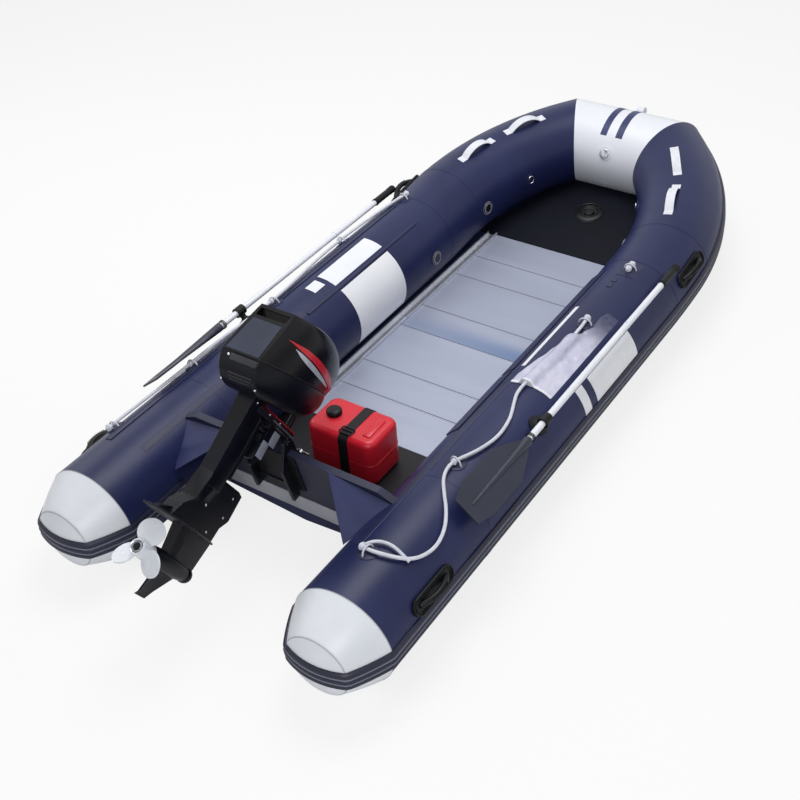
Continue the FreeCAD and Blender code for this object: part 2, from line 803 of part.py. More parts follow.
rake_sin = math.sin(math.radians(RAKE))
rake_cos = math.cos(math.radians(RAKE))
aft_low = (BOARD_Y + BOARD_WALL / rake_cos + size("skin_gap")
           + (size("transom_bottom") - DECK_UNDER) * rake_sin / rake_cos)
mat = feature("aft_mat_block", Part.makeBox(
    2 * HALF, station("planks_start") - plank_gap - aft_low, size("floor_wall"),
    vec(-HALF, aft_low, DECK - size("floor_wall") - size("skin_gap"))))
node("aft_mat", cut("aft_mat", mat, TUBE_TRIM))

BOW_FLOOR_SHARE = 0.5
bow_start = station("planks_end") + size("floor_wall")
bow_end = HULL_END - R * BOW_FLOOR_SHARE
bow_half = HALF * BOW_FLOOR_SHARE
bow_points = [vec(-HALF, bow_start, 0), vec(HALF, bow_start, 0), vec(bow_half, bow_end, 0),
              vec(-bow_half, bow_end, 0)]
bow_face = Part.Face(Part.makePolygon(bow_points + bow_points[:1]))
bow_block = bow_face.extrude(vec(0, 0, size("floor_wall")))
BOW_SLOPE = math.atan2(BOW_LIFT * BOW_TOP_SHARE, HULL_END - bow_start)
bow_block.rotate(vec(0, bow_start, 0), X_AXIS, math.degrees(BOW_SLOPE))
bow_block.translate(vec(0, 0, DECK_UNDER + size("skin_gap")))
bow_mat = feature("bow_floor_block", bow_block)
node("bow_floor", cut("bow_floor", bow_mat, TUBE_TRIM))

# Keel valve in the bow floor: a wide flange round a raised rim and a cap
KEEL_VALVE_SHARES = ((0, 0), (1, 0), (1, 0.04), (0.62, 0.12), (0.55, 0.053), (0.4, 0.053),
                     (0.36, 0.16), (0, 0.16))
valve_y = station("keel_valve_station")
valve_z = (DECK_UNDER + size("floor_wall") / math.cos(BOW_SLOPE) + 2 * size("skin_gap")
           + (valve_y - bow_start) * math.tan(BOW_SLOPE))
kv = size("keel_valve_radius")
node("keel_valve", spun("keel_valve", "XZ_Plane", [(kv * x, kv * z) for x, z in KEEL_VALVE_SHARES],
                        place(vec(0, valve_y, valve_z), (X_AXIS, math.degrees(BOW_SLOPE)))))


def revolve_shape(outline, where):
    """A small turned solid about its own Z axis."""
    points = [vec(p[0], 0, p[1]) for p in outline]
    face = Part.Face(Part.makePolygon(points + points[:1]))
    solid = face.revolve(ORIGIN, Z_AXIS, 360)
    solid.Placement = where
    return solid


# Inflation valves on the inner faces of both tubes
VALVE_SHARES = ((0, 0), (1, 0), (1, 0.4), (0.8, 1), (0.55, 0.7), (0, 0.9))
INNER_FACE = 176
SEAT = size("skin_gap") * 2
vr = size("valve_radius")
vh = size("valve_height")
valves = []
for side in SIDES.values():
    for name in ("valve_aft", "valve_fore"):
        where = on_tube(side, station(name), INNER_FACE, SEAT)
        valves.append(revolve_shape([(vr * x, vh * z) for x, z in VALVE_SHARES], where))
node("tube_valves", feature("tube_valves", Part.makeCompound(valves)))


# D rings on round pads
def d_wire(radius, corner, wire, height):
    """A D of round wire: half a circle closed by a bar with rounded corners."""
    points = [(radius, 0), ((0, radius), (-radius, 0))]
    diagonal = corner * (1 - math.sqrt(0.5))
    points.append(((-radius + diagonal, -corner + diagonal), (-radius + corner, -corner)))
    points.append((radius - corner, -corner))
    points.append(((radius - diagonal, -corner + diagonal), (radius, 0)))
    start = points[0]
    edges = []
    for step in points[1:]:
        if isinstance(step[0], tuple):
            ends = [start, step[0], step[1]]
            edges.append(Part.Arc(*[vec(x, y, height) for x, y in ends]).toShape())
            start = step[1]
        else:
            edges.append(Part.LineSegment(vec(start[0], start[1], height),
                                          vec(step[0], step[1], height)).toShape())
            start = step
    path = Part.Wire(edges)
    ring = Part.Wire(Part.makeCircle(wire, vec(radius, 0, height), Y_AXIS))
    return path.makePipeShell([ring], True, False)


def level_edges(box, low_z, along_x):
    """The box's top edges above a height that run along X, or else along Y."""
    edges = []
    for edge in box.Edges:
        first, last = edge.Vertexes[0].Point, edge.Vertexes[1].Point
        across = abs(first.y - last.y) if along_x else abs(first.x - last.x)
        if max(abs(first.z - last.z), across) < R * 1e-6 and first.z > low_z:
            edges.append(edge)
    return edges


D_PATCH_SHARES = (1.7, 0.3)
D_CORNER_SHARES = (2, 1.2)
D_LOOP_SHARES = (6, 3, 1.6, 1.5)


def d_ring(where):
    """A webbing loop on a round patch, and the D that it holds."""
    radius = size("ring_radius")
    wire = size("ring_wire")
    corner = wire * D_CORNER_SHARES[0]
    top = size("patch_wall") * 2
    height = top + wire + size("skin_gap") * 3
    sunk = radius * D_PATCH_SHARES[1]
    patch = Part.makeCylinder(radius * D_PATCH_SHARES[0], top + sunk, vec(0, 0, -sunk))
    half = radius - corner * D_CORNER_SHARES[1]
    width, back, cover, round_share = D_LOOP_SHARES
    loop = Part.makeBox(half * 2, wire * width, height + wire * cover,
                        vec(-half, -corner - wire * back, 0))
    loop = loop.makeFillet(wire * round_share, level_edges(loop, height, True))
    bore = Part.makeCylinder(wire + size("skin_gap"), radius * 2, vec(-radius, -corner, height),
                             X_AXIS)
    sink = R + SEAT
    under = Part.makeCylinder(sink, radius * 4, vec(0, -radius * 2, -sink), Y_AXIS)
    holder = patch.fuse(loop).cut(bore).cut(under)
    pair = Part.makeCompound([holder, d_wire(radius, corner, wire, height)])
    pair.Placement = where
    return pair


def on_bow(x, degrees, height):
    """Placement on the bow tube's skin, counted from its front over the top."""
    angle = math.radians(degrees)
    normal = RISE_DIR * math.cos(angle) + RISE_UP * math.sin(angle)
    point = vec(x, CORNER.y, CORNER.z) + normal * (R + height)
    return frame_place(point, X_AXIS.cross(normal), X_AXIS, normal)


BOW_RING_DEGREES = 153
ring_places = [on_tube(side, station("ring_station"), INNER_FACE, SEAT)
               for side in SIDES.values()]
ring_places.append(on_bow(0, BOW_RING_DEGREES, SEAT))
node("d_rings", feature("d_rings", Part.makeCompound([d_ring(p) for p in ring_places])))

# Bow eye: a moulded lug with a cross hole
EYE_DEGREES = 48
EYE_SHARES = (0.5, 0.25, 0.2, 0.9)
EYE_WIDTH_SHARE = 0.7
EYE_HOLE_SHARE = 0.42
eye_w = size("eye_width")
eye_h = size("eye_height")
eye_seat = on_bow(size("eye_shift"), EYE_DEGREES, 0)
eye_place = eye_seat.multiply(place(ORIGIN, (Z_AXIS, -90)))
wide, narrow, shoulder, crown = EYE_SHARES
eye_body = padded("bow_eye", "YZ_Plane",
                  [[(-eye_w * wide, -eye_h), (eye_w * wide, -eye_h),
                    (eye_w * wide, eye_h * shoulder), (eye_w * narrow, eye_h * crown),
                    (-eye_w * narrow, eye_h * crown), (-eye_w * wide, eye_h * shoulder)]],
                  f"Sizes.eye_width * {EYE_WIDTH_SHARE}", eye_place, symmetric=True)
eye_bore = primitive("Part::Cylinder", "bow_eye_tool",
                     eye_place.multiply(place(vec(-eye_w, 0, eye_h * EYE_HOLE_SHARE),
                                              (Y_AXIS, 90))),
                     Radius="Sizes.eye_bore", Height="Sizes.eye_width * 2")
eye_cut = cut("bow_eye_drilled", eye_body, eye_bore)
node("bow_eye", cut("bow_eye_seated", eye_cut, TUBE_TRIM))
doc.recompute()
print("bow eye hole", eye_place.multVec(vec(0, 0, eye_h * EYE_HOLE_SHARE)),
      "axis", eye_place.Rotation.multVec(X_AXIS))


# Lifting handles of white webbing, arched over the tube
WEB_FOOT_SHARE = 0.14
WEB_THICK_SHARE = 2.5
WEB_DEGREES = 96


def web_handle(where):
    length = size("web_length")
    width = size("web_width")
    rise = size("web_rise")
    thick = size("patch_wall") * WEB_THICK_SHARE
    foot = length * WEB_FOOT_SHARE
    half = length / 2
    outline = [(-half, 0), (-half + foot, 0), ((0, rise), (half - foot, 0)), (half, 0),
               (half, thick), (half - foot, thick), ((0, rise + thick), (-half + foot, thick)),
               (-half, thick)]
    edges = edges_of(outline, lambda p: vec(-width / 2, p[0], p[1]))
    face = Part.Face(Part.Wire([edge.toShape() for edge in edges]))
    solid = face.extrude(vec(width, 0, 0))
    solid.Placement = where
    return solid


webs = []
for side in SIDES.values():
    for name in ("web_aft", "web_fore"):
        webs.append(web_handle(on_tube(side, station(name), WEB_DEGREES, -size("patch_wall"))))
web_block = feature("web_pair", Part.makeCompound(webs))
node("web_handles", cut("web_handles", web_block, TUBE_TRIM))

# Rubber carrying handles: an oval pad and a bar on two feet
HANDLE_DEGREES = {"handle_aft": 22, "handle_fore": 31}
HANDLE_PAD_SHARE = 0.6
HANDLE_REACH_SHARE = 0.92
HANDLE_FOOT_SHARE = 0.4


def carry_handle(where):
    length = size("handle_length")
    width = size("handle_width")
    bar = size("handle_bar")
    pad_wall = bar * HANDLE_PAD_SHARE
    half = length / 2 - width / 2
    outline = [vec(-width / 2, -half, 0), vec(width / 2, -half, 0),
               vec(width / 2, half, 0), vec(-width / 2, half, 0)]
    middle = Part.Face(Part.makePolygon(outline + outline[:1])).extrude(vec(0, 0, pad_wall))
    ends = [Part.makeCylinder(width / 2, pad_wall, vec(0, y, 0), Z_AXIS) for y in (-half, half)]
    pad = middle.fuse(ends)
    reach = half * HANDLE_REACH_SHARE
    foot = bar * HANDLE_FOOT_SHARE
    start = vec(0, -reach, foot)
    arc = Part.Arc(start, vec(0, 0, size("handle_rise")), vec(0, reach, foot)).toShape()
    ring = Part.Wire(Part.makeCircle(bar, start, arc.tangentAt(arc.FirstParameter)))
    grip = Part.Wire(arc).makePipeShell([ring], True, False)
    solid = pad.fuse(grip)
    deep = bar * 4
    solid = solid.cut(Part.makeBox(width * 2, length * 2, deep, vec(-width, -length, -deep)))
    solid.translate(vec(0, 0, size("patch_wall")))
    solid.Placement = where
    return solid


handles = []
for name, degrees in HANDLE_DEGREES.items():
    for side in SIDES.values():
        handles.append(carry_handle(on_tube(side, station(name), degrees, 0)))
handle_block = feature("carry_handle_set", Part.makeCompound(handles))
node("carry_handles", cut("carry_handles", handle_block, TUBE_TRIM))

# Oars stowed along the tubes, each in its swivelling lock
LOCK_Y = station("lock_station")
OAR_DEG = size("oar_angle")
BASE_SHARES = ((1, -0.2), (1, 0.25), (0.45, 0.6), (0.3, 1))
COLLAR_SHARE = 1.64
NECK_SHARE = 1.75
BLADE_SHARES = ((0.16, 0), (0.5, -0.12), (1, -0.34), (1, -0.8), (0.72, -1))
RIB_SHARES = (0.8, 1.4, 0.9)


def lock_base(side):
    base_r = size("lock_base_radius")
    base_h = size("lock_base_height")
    bore = size("lock_pin_radius") + size("running_gap")
    where = on_tube(side, LOCK_Y, OAR_DEG, size("skin_gap"))
    outline = [(bore, base_h * BASE_SHARES[0][1])]
    outline += [(base_r * x, base_h * z) for x, z in BASE_SHARES]
    outline.append((bore, base_h))
    return revolve_shape(outline, where)


bases = feature("lock_base_pair", Part.makeCompound([lock_base(s) for s in SIDES.values()]))
node("oarlock_bases", cut("oarlock_bases", bases, TUBE_TRIM))


def along_oar(frame, start, radius, label):
    """A rod along the oar that starts at a named distance from the seam."""
    begin = frame.multVec(vec(0, start - size("lock_station"), 0))
    return primitive("Part::Cylinder", label, place(begin, (X_AXIS, -90)), Radius=radius)


for side_name, side in SIDES.items():
    frame = on_tube(side, LOCK_Y, OAR_DEG, size("oar_height"))
    pin_r = size("lock_pin_radius")
    pin_l = size("lock_pin_length")
    height = size("oar_height")
    shaft_r = size("shaft_radius")
    collar_l = size("collar_length")
    neck_low = -height + size("lock_base_height") + 5 * size("skin_gap")
    collar = Part.makeCylinder(shaft_r * COLLAR_SHARE, collar_l, vec(0, -collar_l / 2, 0), Y_AXIS)
    neck = Part.makeCylinder(pin_r * NECK_SHARE, -neck_low, vec(0, 0, neck_low), Z_AXIS)
    pin = Part.makeCylinder(pin_r, pin_l, vec(0, 0, -height + 3 * size("skin_gap")), Z_AXIS)
    hole = Part.makeCylinder(shaft_r + size("skin_gap"), collar_l * 2, vec(0, -collar_l, 0),
                             Y_AXIS)
    lock = collar.fuse([neck, pin]).cut(hole)
    lock.Placement = frame
    node(side_name + "_oarlock", feature(side_name + "_oarlock", lock))

    overlap = size("shaft_overlap")
    shaft = along_oar(frame, size("blade_start") - overlap, "Sizes.shaft_radius",
                      side_name + "_oar_shaft")
    shaft.setExpression("Height", "Sizes.grip_end - Sizes.grip_length - Sizes.blade_start"
                                  " + Sizes.shaft_overlap")
    node(side_name + "_oar_shaft", shaft)
    grip = along_oar(frame, size("grip_end") - size("grip_length"), "Sizes.grip_radius",
                     side_name + "_oar_grip")
    grip.setExpression("Height", "Sizes.grip_length")
    node(side_name + "_oar_grip", grip)

    # Blade: a flat paddle with a centre rib that sleeves the shaft
    root = size("blade_start") - size("lock_station")
    reach = size("blade_start") - size("blade_tip")
    half = size("blade_width") / 2
    bt = size("blade_wall")
    tip_share, socket_share, length_share = RIB_SHARES
    outline = [vec(half * x, root + reach * y, -bt / 2) for x, y in BLADE_SHARES]
    outline += [vec(-v.x, v.y, v.z) for v in reversed(outline)]
    paddle = Part.Face(Part.makePolygon(outline + outline[:1])).extrude(vec(0, 0, bt))
    rib = Part.makeCone(bt * tip_share, shaft_r * socket_share, reach * length_share,
                        vec(0, root - reach * length_share, 0), Y_AXIS)
    socket = Part.makeCylinder(shaft_r * socket_share, shaft_r, vec(0, root, 0), Y_AXIS)
    bore = Part.makeCylinder(shaft_r + size("skin_gap"), overlap * 2,
                             vec(0, root - overlap - size("skin_gap"), 0), Y_AXIS)
    blade = paddle.fuse([rib, socket]).cut(bore)
    blade.Placement = frame
    node(side_name + "_oar_blade", feature(side_name + "_oar_blade", blade))

# Grab ropes: (share of the straight run, degrees) from the bow end to the stern end.
# Runs are straight and joined by tangent arcs; hoops stand at the listed points.
ROPE_ROUTES = {
    "port": ((1.0492, 75.3), (1.0385, 74), (1.0192, 71), (0.9848, 66), (0.9311, 60),
             (0.8818, 54.5), (0.8438, 50.5), (0.7923, 51.5), (0.7386, 57), (0.6849, 63),
             (0.6267, 68), (0.5743, 70), (0.5143, 69), (0.4525, 64), (0.3939, 61),
             (0.3389, 61.5), (0.2775, 60.5), (0.2193, 57.5), (0.1790, 55), (0.1522, 53.8),
             (0.1343, 54), (0.1235, 54.6)),
    "starboard": ((0.8093, 87.5), (0.7986, 87), (0.7780, 86), (0.7408, 85.5), (0.6759, 86.5),
                  (0.6110, 89.5), (0.5515, 91.5), (0.5148, 84), (0.4803, 76.5),
                  (0.4320, 73.5), (0.3872, 78.5), (0.3581, 85), (0.3397, 90), (0.3201, 92),
                  (0.2932, 88), (0.2663, 77.5), (0.2399, 65), (0.2117, 55), (0.1799, 50),
                  (0.1504, 51.5), (0.1231, 58.5), (0.1074, 70), (0.0994, 81), (0.0958, 89),
                  (0.0958, 97), (0.0980, 103)),
}
HOOP_POINTS = {"port": (1, 6, 11, 15, 20), "starboard": (1, 12, 24)}
ARC_SHARE = 0.45
BOW_ANCHOR = (1.009, 91)
ANCHOR_KNOT_SHARE = 1.5


def rope_point(side, share, degrees, height):
    y = SEAM_Y + size("side_run") * share
    return on_tube(side, y, degrees, height)


def arc_path(points):
    """Edges of straight runs joined by tangent arcs, and the arcs' radii."""
    edges = []
    radii = []
    start = points[0]
    for before, corner, after in zip(points, points[1:], points[2:]):
        into = corner - before
        out = after - corner
        half_turn = into.getAngle(out) / 2
        tangent = min(into.Length, out.Length) * ARC_SHARE
        into.normalize()
        out.normalize()
        inward = out - into
        inward.normalize()
        radius = tangent / math.tan(half_turn)
        first = corner - into * tangent
        last = corner + out * tangent
        middle = corner + inward * (radius / math.cos(half_turn) - radius)
        edges.append(Part.LineSegment(start, first).toShape())
        edges.append(Part.Arc(first, middle, last).toShape())
        radii.append(radius)
        start = last
    edges.append(Part.LineSegment(start, points[-1]).toShape())
    return edges, radii


def ball_knot(centre, towards):
    """A stopper knot with a bore in which the rope ends."""
    bore = Part.makeCylinder(size("rope_radius") + size("skin_gap"), size("knot_radius") * 2,
                             Z_AXIS * -size("skin_gap"))
    knot = Part.makeSphere(size("knot_radius")).cut(bore)
    knot.Placement = FreeCAD.Placement(centre, FreeCAD.Rotation(Z_AXIS, towards))
    return knot


def hoop_anchor(where, turn):
    """A patch that follows the skin and the wire hoop that stands on it."""
    radius = size("anchor_radius")
    wall = size("patch_wall") * 2
    sink = R + SEAT
    span = radius * 4
    disc = Part.makeCylinder(radius, radius * 2, vec(0, 0, -radius))
    over = Part.makeCylinder(sink + wall, span, vec(0, -span / 2, -sink), Y_AXIS)
    under = Part.makeCylinder(sink, span, vec(0, -span / 2, -sink), Y_AXIS)
    hoop = Part.makeTorus(size("hoop_radius"), size("ring_wire"), ORIGIN, Z_AXIS, 0, 360, 180)
    hoop.rotate(ORIGIN, X_AXIS, 90)
    hoop.rotate(ORIGIN, Z_AXIS, turn)
    piece = disc.common(over).cut(under).fuse(hoop)
    piece.Placement = where
    return piece


anchors = []
anchor_tools = []
for side_name, side in SIDES.items():
    route = ROPE_ROUTES[side_name]
    points = [rope_point(side, share, degrees, size("rope_height")).Base
              for share, degrees in route]
    edges, radii = arc_path(points)
    path = Part.Wire(edges)
    section = Part.Wire(Part.makeCircle(size("rope_radius"), points[0], points[1] - points[0]))
    rope = path.makePipeShell([section], True, False)
    node(side_name + "_rope", feature(side_name + "_rope", rope))
    share = rope.Volume / (math.pi * size("rope_radius") ** 2 * path.Length)
    print(side_name, "rope length", path.Length, "least radius", min(radii), "share", share)
    print(side_name, "radii", [round(r) for r in radii])
    anchors.append(ball_knot(points[0], points[1] - points[0]))
    anchors.append(ball_knot(points[-1], points[-2] - points[-1]))
    hoops = [(rope_point(side, *route[i], 0), points[i + 1] - points[i - 1])
             for i in HOOP_POINTS[side_name]]
    if side > 0:
        bow_anchor = rope_point(side, *BOW_ANCHOR, 0)
        hoops.append((bow_anchor, bow_anchor.Rotation.multVec(Y_AXIS)))
    for seat, rope_way in hoops:
        local_way = seat.Rotation.inverted().multVec(rope_way)
        turn = math.degrees(math.atan2(-local_way.x, local_way.y))
        anchors.append(hoop_anchor(seat.multiply(place(vec(0, 0, SEAT))), turn))
        tool_r = size("anchor_radius") + size("skin_gap")
        tool = Part.makeCylinder(tool_r, tool_r, vec(0, 0, -tool_r / 2))
        tool.Placement = seat
        anchor_tools.append(tool)
knot_r = size("knot_radius")
link = Part.makeCylinder(size("rope_radius"), knot_r * ANCHOR_KNOT_SHARE * 2,
                         vec(0, -knot_r * ANCHOR_KNOT_SHARE, 0), Y_AXIS)
short_rope = link.fuse([Part.makeSphere(knot_r, vec(0, y * knot_r * ANCHOR_KNOT_SHARE, 0))
                        for y in (-1, 1)])
short_rope.Placement = rope_point(1, *BOW_ANCHOR, size("rope_height"))
anchors.append(short_rope)
node("rope_anchors", feature("rope_anchors", Part.makeCompound(anchors)))

# White patches and strips stop short of the ropes' anchors
anchor_tool = feature("anchor_tool", Part.makeCompound(anchor_tools))
node("wrap_bands", cut("wrap_bands", band_block, anchor_tool))
node("tube_strips", cut("tube_strips", strip_block, anchor_tool))

# Fuel tank standing on the aft mat, with its strap and cap
TANK_TOP_SHARE = 0.6
STRAP_SHIFT_SHARE = 0.076
CAP_SHIFT_SHARE = -0.27
CAP_SHARES = ((0, -0.42), (1, -0.42), (1, 0.56), (0.84, 0.69), (0, 0.69))
tank_l = size("tank_length")
tank_w = size("tank_width")
tank_h = size("tank_height")
corner = size("tank_corner")
gap = size("skin_gap")
tank = primitive("Part::Box", "fuel_tank_block",
                 place(vec(size("tank_shift") - tank_l / 2, station("tank_station") - tank_w / 2,
                           DECK + gap)),
                 Length="Sizes.tank_length", Width="Sizes.tank_width",
                 Height="Sizes.tank_height")
doc.recompute()
rounded = doc.addObject("Part::Fillet", "fuel_tank")
rounded.Base = tank
edge_round = corner * TANK_TOP_SHARE
rounded.Edges = [(number, corner, corner) for number in (1, 3, 5, 7)] + \
                [(number, edge_round, edge_round) for number in (2, 4, 6, 8, 9, 10, 11, 12)]

strap_w = size("strap_width")
strap_t = size("strap_wall")
strap_x = size("tank_shift") + tank_l * STRAP_SHIFT_SHARE
strap_y = station("tank_station") - tank_w / 2 - gap


def strap_block(width, grow, low):
    block = Part.makeBox(width, tank_w + 2 * (gap + grow), tank_h + gap + grow,
                         vec(strap_x - width / 2, strap_y - grow, low))
    edges = level_edges(block, DECK + tank_h / 2, True)
    return block.makeFillet(edge_round + gap + grow, edges)


strap = strap_block(strap_w, strap_t, DECK + gap).cut(strap_block(strap_w * 3, 0, DECK))
node("tank_strap", feature("tank_strap", strap))
cap_r = size("tank_cap_radius")
cap = feature("tank_cap", revolve_shape(
    [(cap_r * x, cap_r * z) for x, z in CAP_SHARES],
    place(vec(size("tank_shift") + tank_l * CAP_SHIFT_SHARE, station("tank_station"),
              DECK + tank_h + 2 * gap))))
node("fuel_tank", fused("fuel_tank_capped", [rounded, cap]))

# Outboard motor. Its pieces are drawn upright from the tilt pin, then tilted
PIN = vec(SHIFT, station("transom_station") + size("pin_ahead"), BOARD_TOP + size("pin_rise"))
TILT = place(PIN, (X_AXIS, -size("tilt_deg")))
BACK = -size("swivel_back")
MOVING = size("moving_gap")


def tilted(shape):
    shape.Placement = TILT.multiply(shape.Placement)
    return shape


def side_plate(points, x0, x1):
    """Solid of a side outline (forward, up) between two X values."""
    outline = [vec(x0, p[0], p[1]) for p in points]
    face = Part.Face(Part.makePolygon(outline + outline[:1]))
    return face.extrude(vec(x1 - x0, 0, 0))


# Clamp bracket: two cheeks over the transom, tied by the tilt pin
CHEEK_SHARES = {"foot": 1.4, "nose": 0.7, "lug": 2.4, "lug_low": 0.6, "lug_tip": 0.4,
                "back": 3.1, "back_low": 2.8, "back_drop": 4.2}
TIE_SHARES = (0.43, 2.9, 0.7)
FRONT_TIE_SHARES = (1.4, 3.6)
SCREW_SPREAD_SHARE = 0.6
SCREW_UP_SHARE = 0.17
cheek_in = size("cheek_inner")
cheek_t = size("cheek_wall")
pin_r = size("pin_radius")
pin_in_board = TRANSOM.inverse().multVec(PIN)
back = -size("pad_wall") - gap
fore = BOARD_WALL + size("pad_wall") + gap
up0 = BOARD_LENGTH
drop = size("cheek_drop")
arm = size("arm_drop")
lug = pin_r * CHEEK_SHARES["lug"]
foot = cheek_t * CHEEK_SHARES["foot"]
pin_y, pin_z = pin_in_board.y, pin_in_board.z
cheek_points = [(back, up0 - drop), (back, up0 + gap * 4), (fore, up0 + gap * 4),
                (fore, up0 - arm), (fore + foot, up0 - arm),
                (fore + foot, up0 + cheek_t * CHEEK_SHARES["nose"]),
                (pin_y + lug, pin_z + lug * CHEEK_SHARES["lug_low"]),
                (pin_y + lug * CHEEK_SHARES["lug_tip"], pin_z + lug),
                (pin_y - lug, pin_z + lug * CHEEK_SHARES["lug_low"]),
                (back - cheek_t * CHEEK_SHARES["back"], up0 - cheek_t * CHEEK_SHARES["back_drop"]),
                (back - cheek_t * CHEEK_SHARES["back_low"], up0 - drop)]
cheeks = []
for side in SIDES.values():
    x0 = cheek_in * side
    cheeks.append(side_plate(cheek_points, x0, x0 + cheek_t * side))
tie_wall, tie_height, tie_up = [cheek_t * share for share in TIE_SHARES]
over = cheek_t / 10
tie = Part.makeBox(2 * (cheek_in + over), tie_wall, tie_height,
                   vec(-cheek_in - over, back - tie_wall, up0 - drop + tie_up))
front_wall, front_height = [cheek_t * share for share in FRONT_TIE_SHARES]
front_tie = Part.makeBox(2 * (cheek_in + over), front_wall, front_height,
                         vec(-cheek_in - over, fore, up0 - arm))
pin_half = cheek_in + cheek_t + MOVING / 2
tilt_pin = Part.makeCylinder(pin_r, 2 * pin_half, vec(-pin_half, pin_y, pin_z), X_AXIS)
bracket = cheeks[0].fuse([cheeks[1], tie, front_tie, tilt_pin])
screw_r = size("screw_radius")
screw_x = cheek_in * SCREW_SPREAD_SHARE
screw_q = up0 - arm * (1 - SCREW_UP_SHARE)
for side in SIDES.values():
    bracket = bracket.cut(Part.makeCylinder(screw_r + gap, front_wall * 2,
                                            vec(side * screw_x, fore - front_wall / 2, screw_q),
                                            Y_AXIS))
bracket.Placement = place(vec(SHIFT, 0, 0)).multiply(TRANSOM)
node("clamp_bracket", feature("clamp_bracket", bracket))

HEAD_SHARES = (1.7, 2)
WING_SHARE = 0.7
screws = []
screw_l = size("screw_length")
wing_l = size("screw_wing")
for side in SIDES.values():
    rod = Part.makeCylinder(screw_r, screw_l, vec(side * screw_x, fore, screw_q), Y_AXIS)
    head = Part.makeCylinder(screw_r * HEAD_SHARES[0], screw_r * HEAD_SHARES[1],
                             vec(side * screw_x, fore + screw_l, screw_q), Y_AXIS)
    wing = Part.makeCylinder(screw_r * WING_SHARE, wing_l,
                             vec(side * screw_x - wing_l / 2, fore + screw_l + screw_r, screw_q),
                             X_AXIS)
    screws.append(rod.fuse([head, wing]))
screw_set = Part.makeCompound(screws)
screw_set.Placement = place(vec(SHIFT, 0, 0)).multiply(TRANSOM)
node("clamp_screws", feature("clamp_screws", screw_set))

# Swivel bracket: hub round the tilt pin, arms and the steering tube
ARM_SHARES = {"shoulder": 0.32, "shoulder_low": 0.31, "low": 1.21, "edge": 0.27, "rim": 0.11,
              "top": 0.15, "web": 0.6}
BRIDGE_SHARES = (0.08, 0.48, 1.05, 0.03, 0.11)
hub_r = pin_r + size("hub_wall")
swivel_w = cheek_in - MOVING
tube_r = size("swivel_radius")
web_t = size("web_wall")
hub = Part.makeCylinder(hub_r, 2 * swivel_w, vec(-swivel_w, 0, 0), X_AXIS)
steer_tube = Part.makeCylinder(tube_r, size("swivel_low") + size("swivel_high"),
                               vec(0, BACK, -size("swivel_low")), Z_AXIS)
arm_points = [(hub_r, 0), (0, -hub_r),
              (BACK * ARM_SHARES["shoulder"], BACK * ARM_SHARES["shoulder_low"]),
              (BACK * (1 - ARM_SHARES["edge"]), BACK * ARM_SHARES["low"]),
              (BACK * (1 - ARM_SHARES["rim"]), BACK * ARM_SHARES["low"]),
              (BACK * (1 - ARM_SHARES["rim"]), -BACK * ARM_SHARES["top"]), (0, hub_r)]
web_x = cheek_in * ARM_SHARES["web"]
web_l = side_plate(arm_points, -web_x - web_t, -web_x)
web_r = side_plate(arm_points, web_x, web_x + web_t)
rim, bridge_high, bridge_low, lid_low, lid_wall = [share * -BACK for share in BRIDGE_SHARES]
bridge_l = 2 * (web_x + web_t)
bridge_t = size("bridge_wall")
bridge = Part.makeBox(bridge_l, bridge_t, bridge_low - bridge_high,
                      vec(-bridge_l / 2, BACK + rim, -bridge_low))
bridge_top = Part.makeBox(bridge_l, bridge_t, lid_wall, vec(-bridge_l / 2, BACK + rim, lid_low))
swivel = hub.fuse([steer_tube, web_l, web_r, bridge, bridge_top])
swivel = swivel.cut(Part.makeCylinder(pin_r + size("running_gap"), 4 * swivel_w,
                                      vec(-2 * swivel_w, 0, 0), X_AXIS))
foot_z = -size("foot_top")
swivel = swivel.cut(Part.makeCylinder(size("swivel_shaft") + size("running_gap"), -foot_z * 2,
                                      vec(0, BACK, foot_z * 1.5), Z_AXIS))
node("swivel_bracket", feature("swivel_bracket", tilted(swivel)))

# Drive leg: steering shaft, housing behind the steering tube and the wide foot
LEG_BULGE_SHARE = 1.06
LEG_SHARES = (1.08, 0.89, 0.92)
# Foot sections as (height, aft, fore, half width) shares of plate drop, back, front, width
FOOT_SHARES = ((0.54, 0.56, 0.80, 0.80), (0.562, 0.556, 1.0, 0.92), (0.788, 0.655, 1.0, 0.92),
               (0.875, 0.88, 0.75, 0.88), (0.999, 1.0, 0.72, 0.82))
FIN_SHARES = (0.918, 0.98, 1.27, 0.32)
leg_w = size("leg_half_width")
plate_z = -size("plate_drop")
leg_top = size("leg_top")


def leg_section(z, aft, fore_y, half_aft, half_fore):
    middle = (aft + fore_y) / 2
    bulge = max(half_aft, half_fore) * LEG_BULGE_SHARE
    return z, [(-half_aft, aft), (half_aft, aft), ((bulge, middle), (half_fore, fore_y)),
               (-half_fore, fore_y), ((-bulge, middle), (-half_aft, aft))]


def loft_shape(sections, ruled=False):
    wires = []
    for z, outline in sections:
        start = outline[0]
        edges = []
        for step in outline[1:]:
            if isinstance(step[0], tuple):
                mid, end = step
                edges.append(Part.Arc(vec(start[0], start[1], z), vec(mid[0], mid[1], z),
                                      vec(end[0], end[1], z)).toShape())
            else:
                end = step
                edges.append(Part.LineSegment(vec(start[0], start[1], z),
                                              vec(end[0], end[1], z)).toShape())
            start = end
        wires.append(Part.Wire(edges))
    return Part.makeLoft(wires, True, ruled)


gap_y = BACK - tube_r - MOVING
rear = gap_y - size("leg_chord")
yoke_h = size("yoke_height")
yoke_z = yoke_h + gap


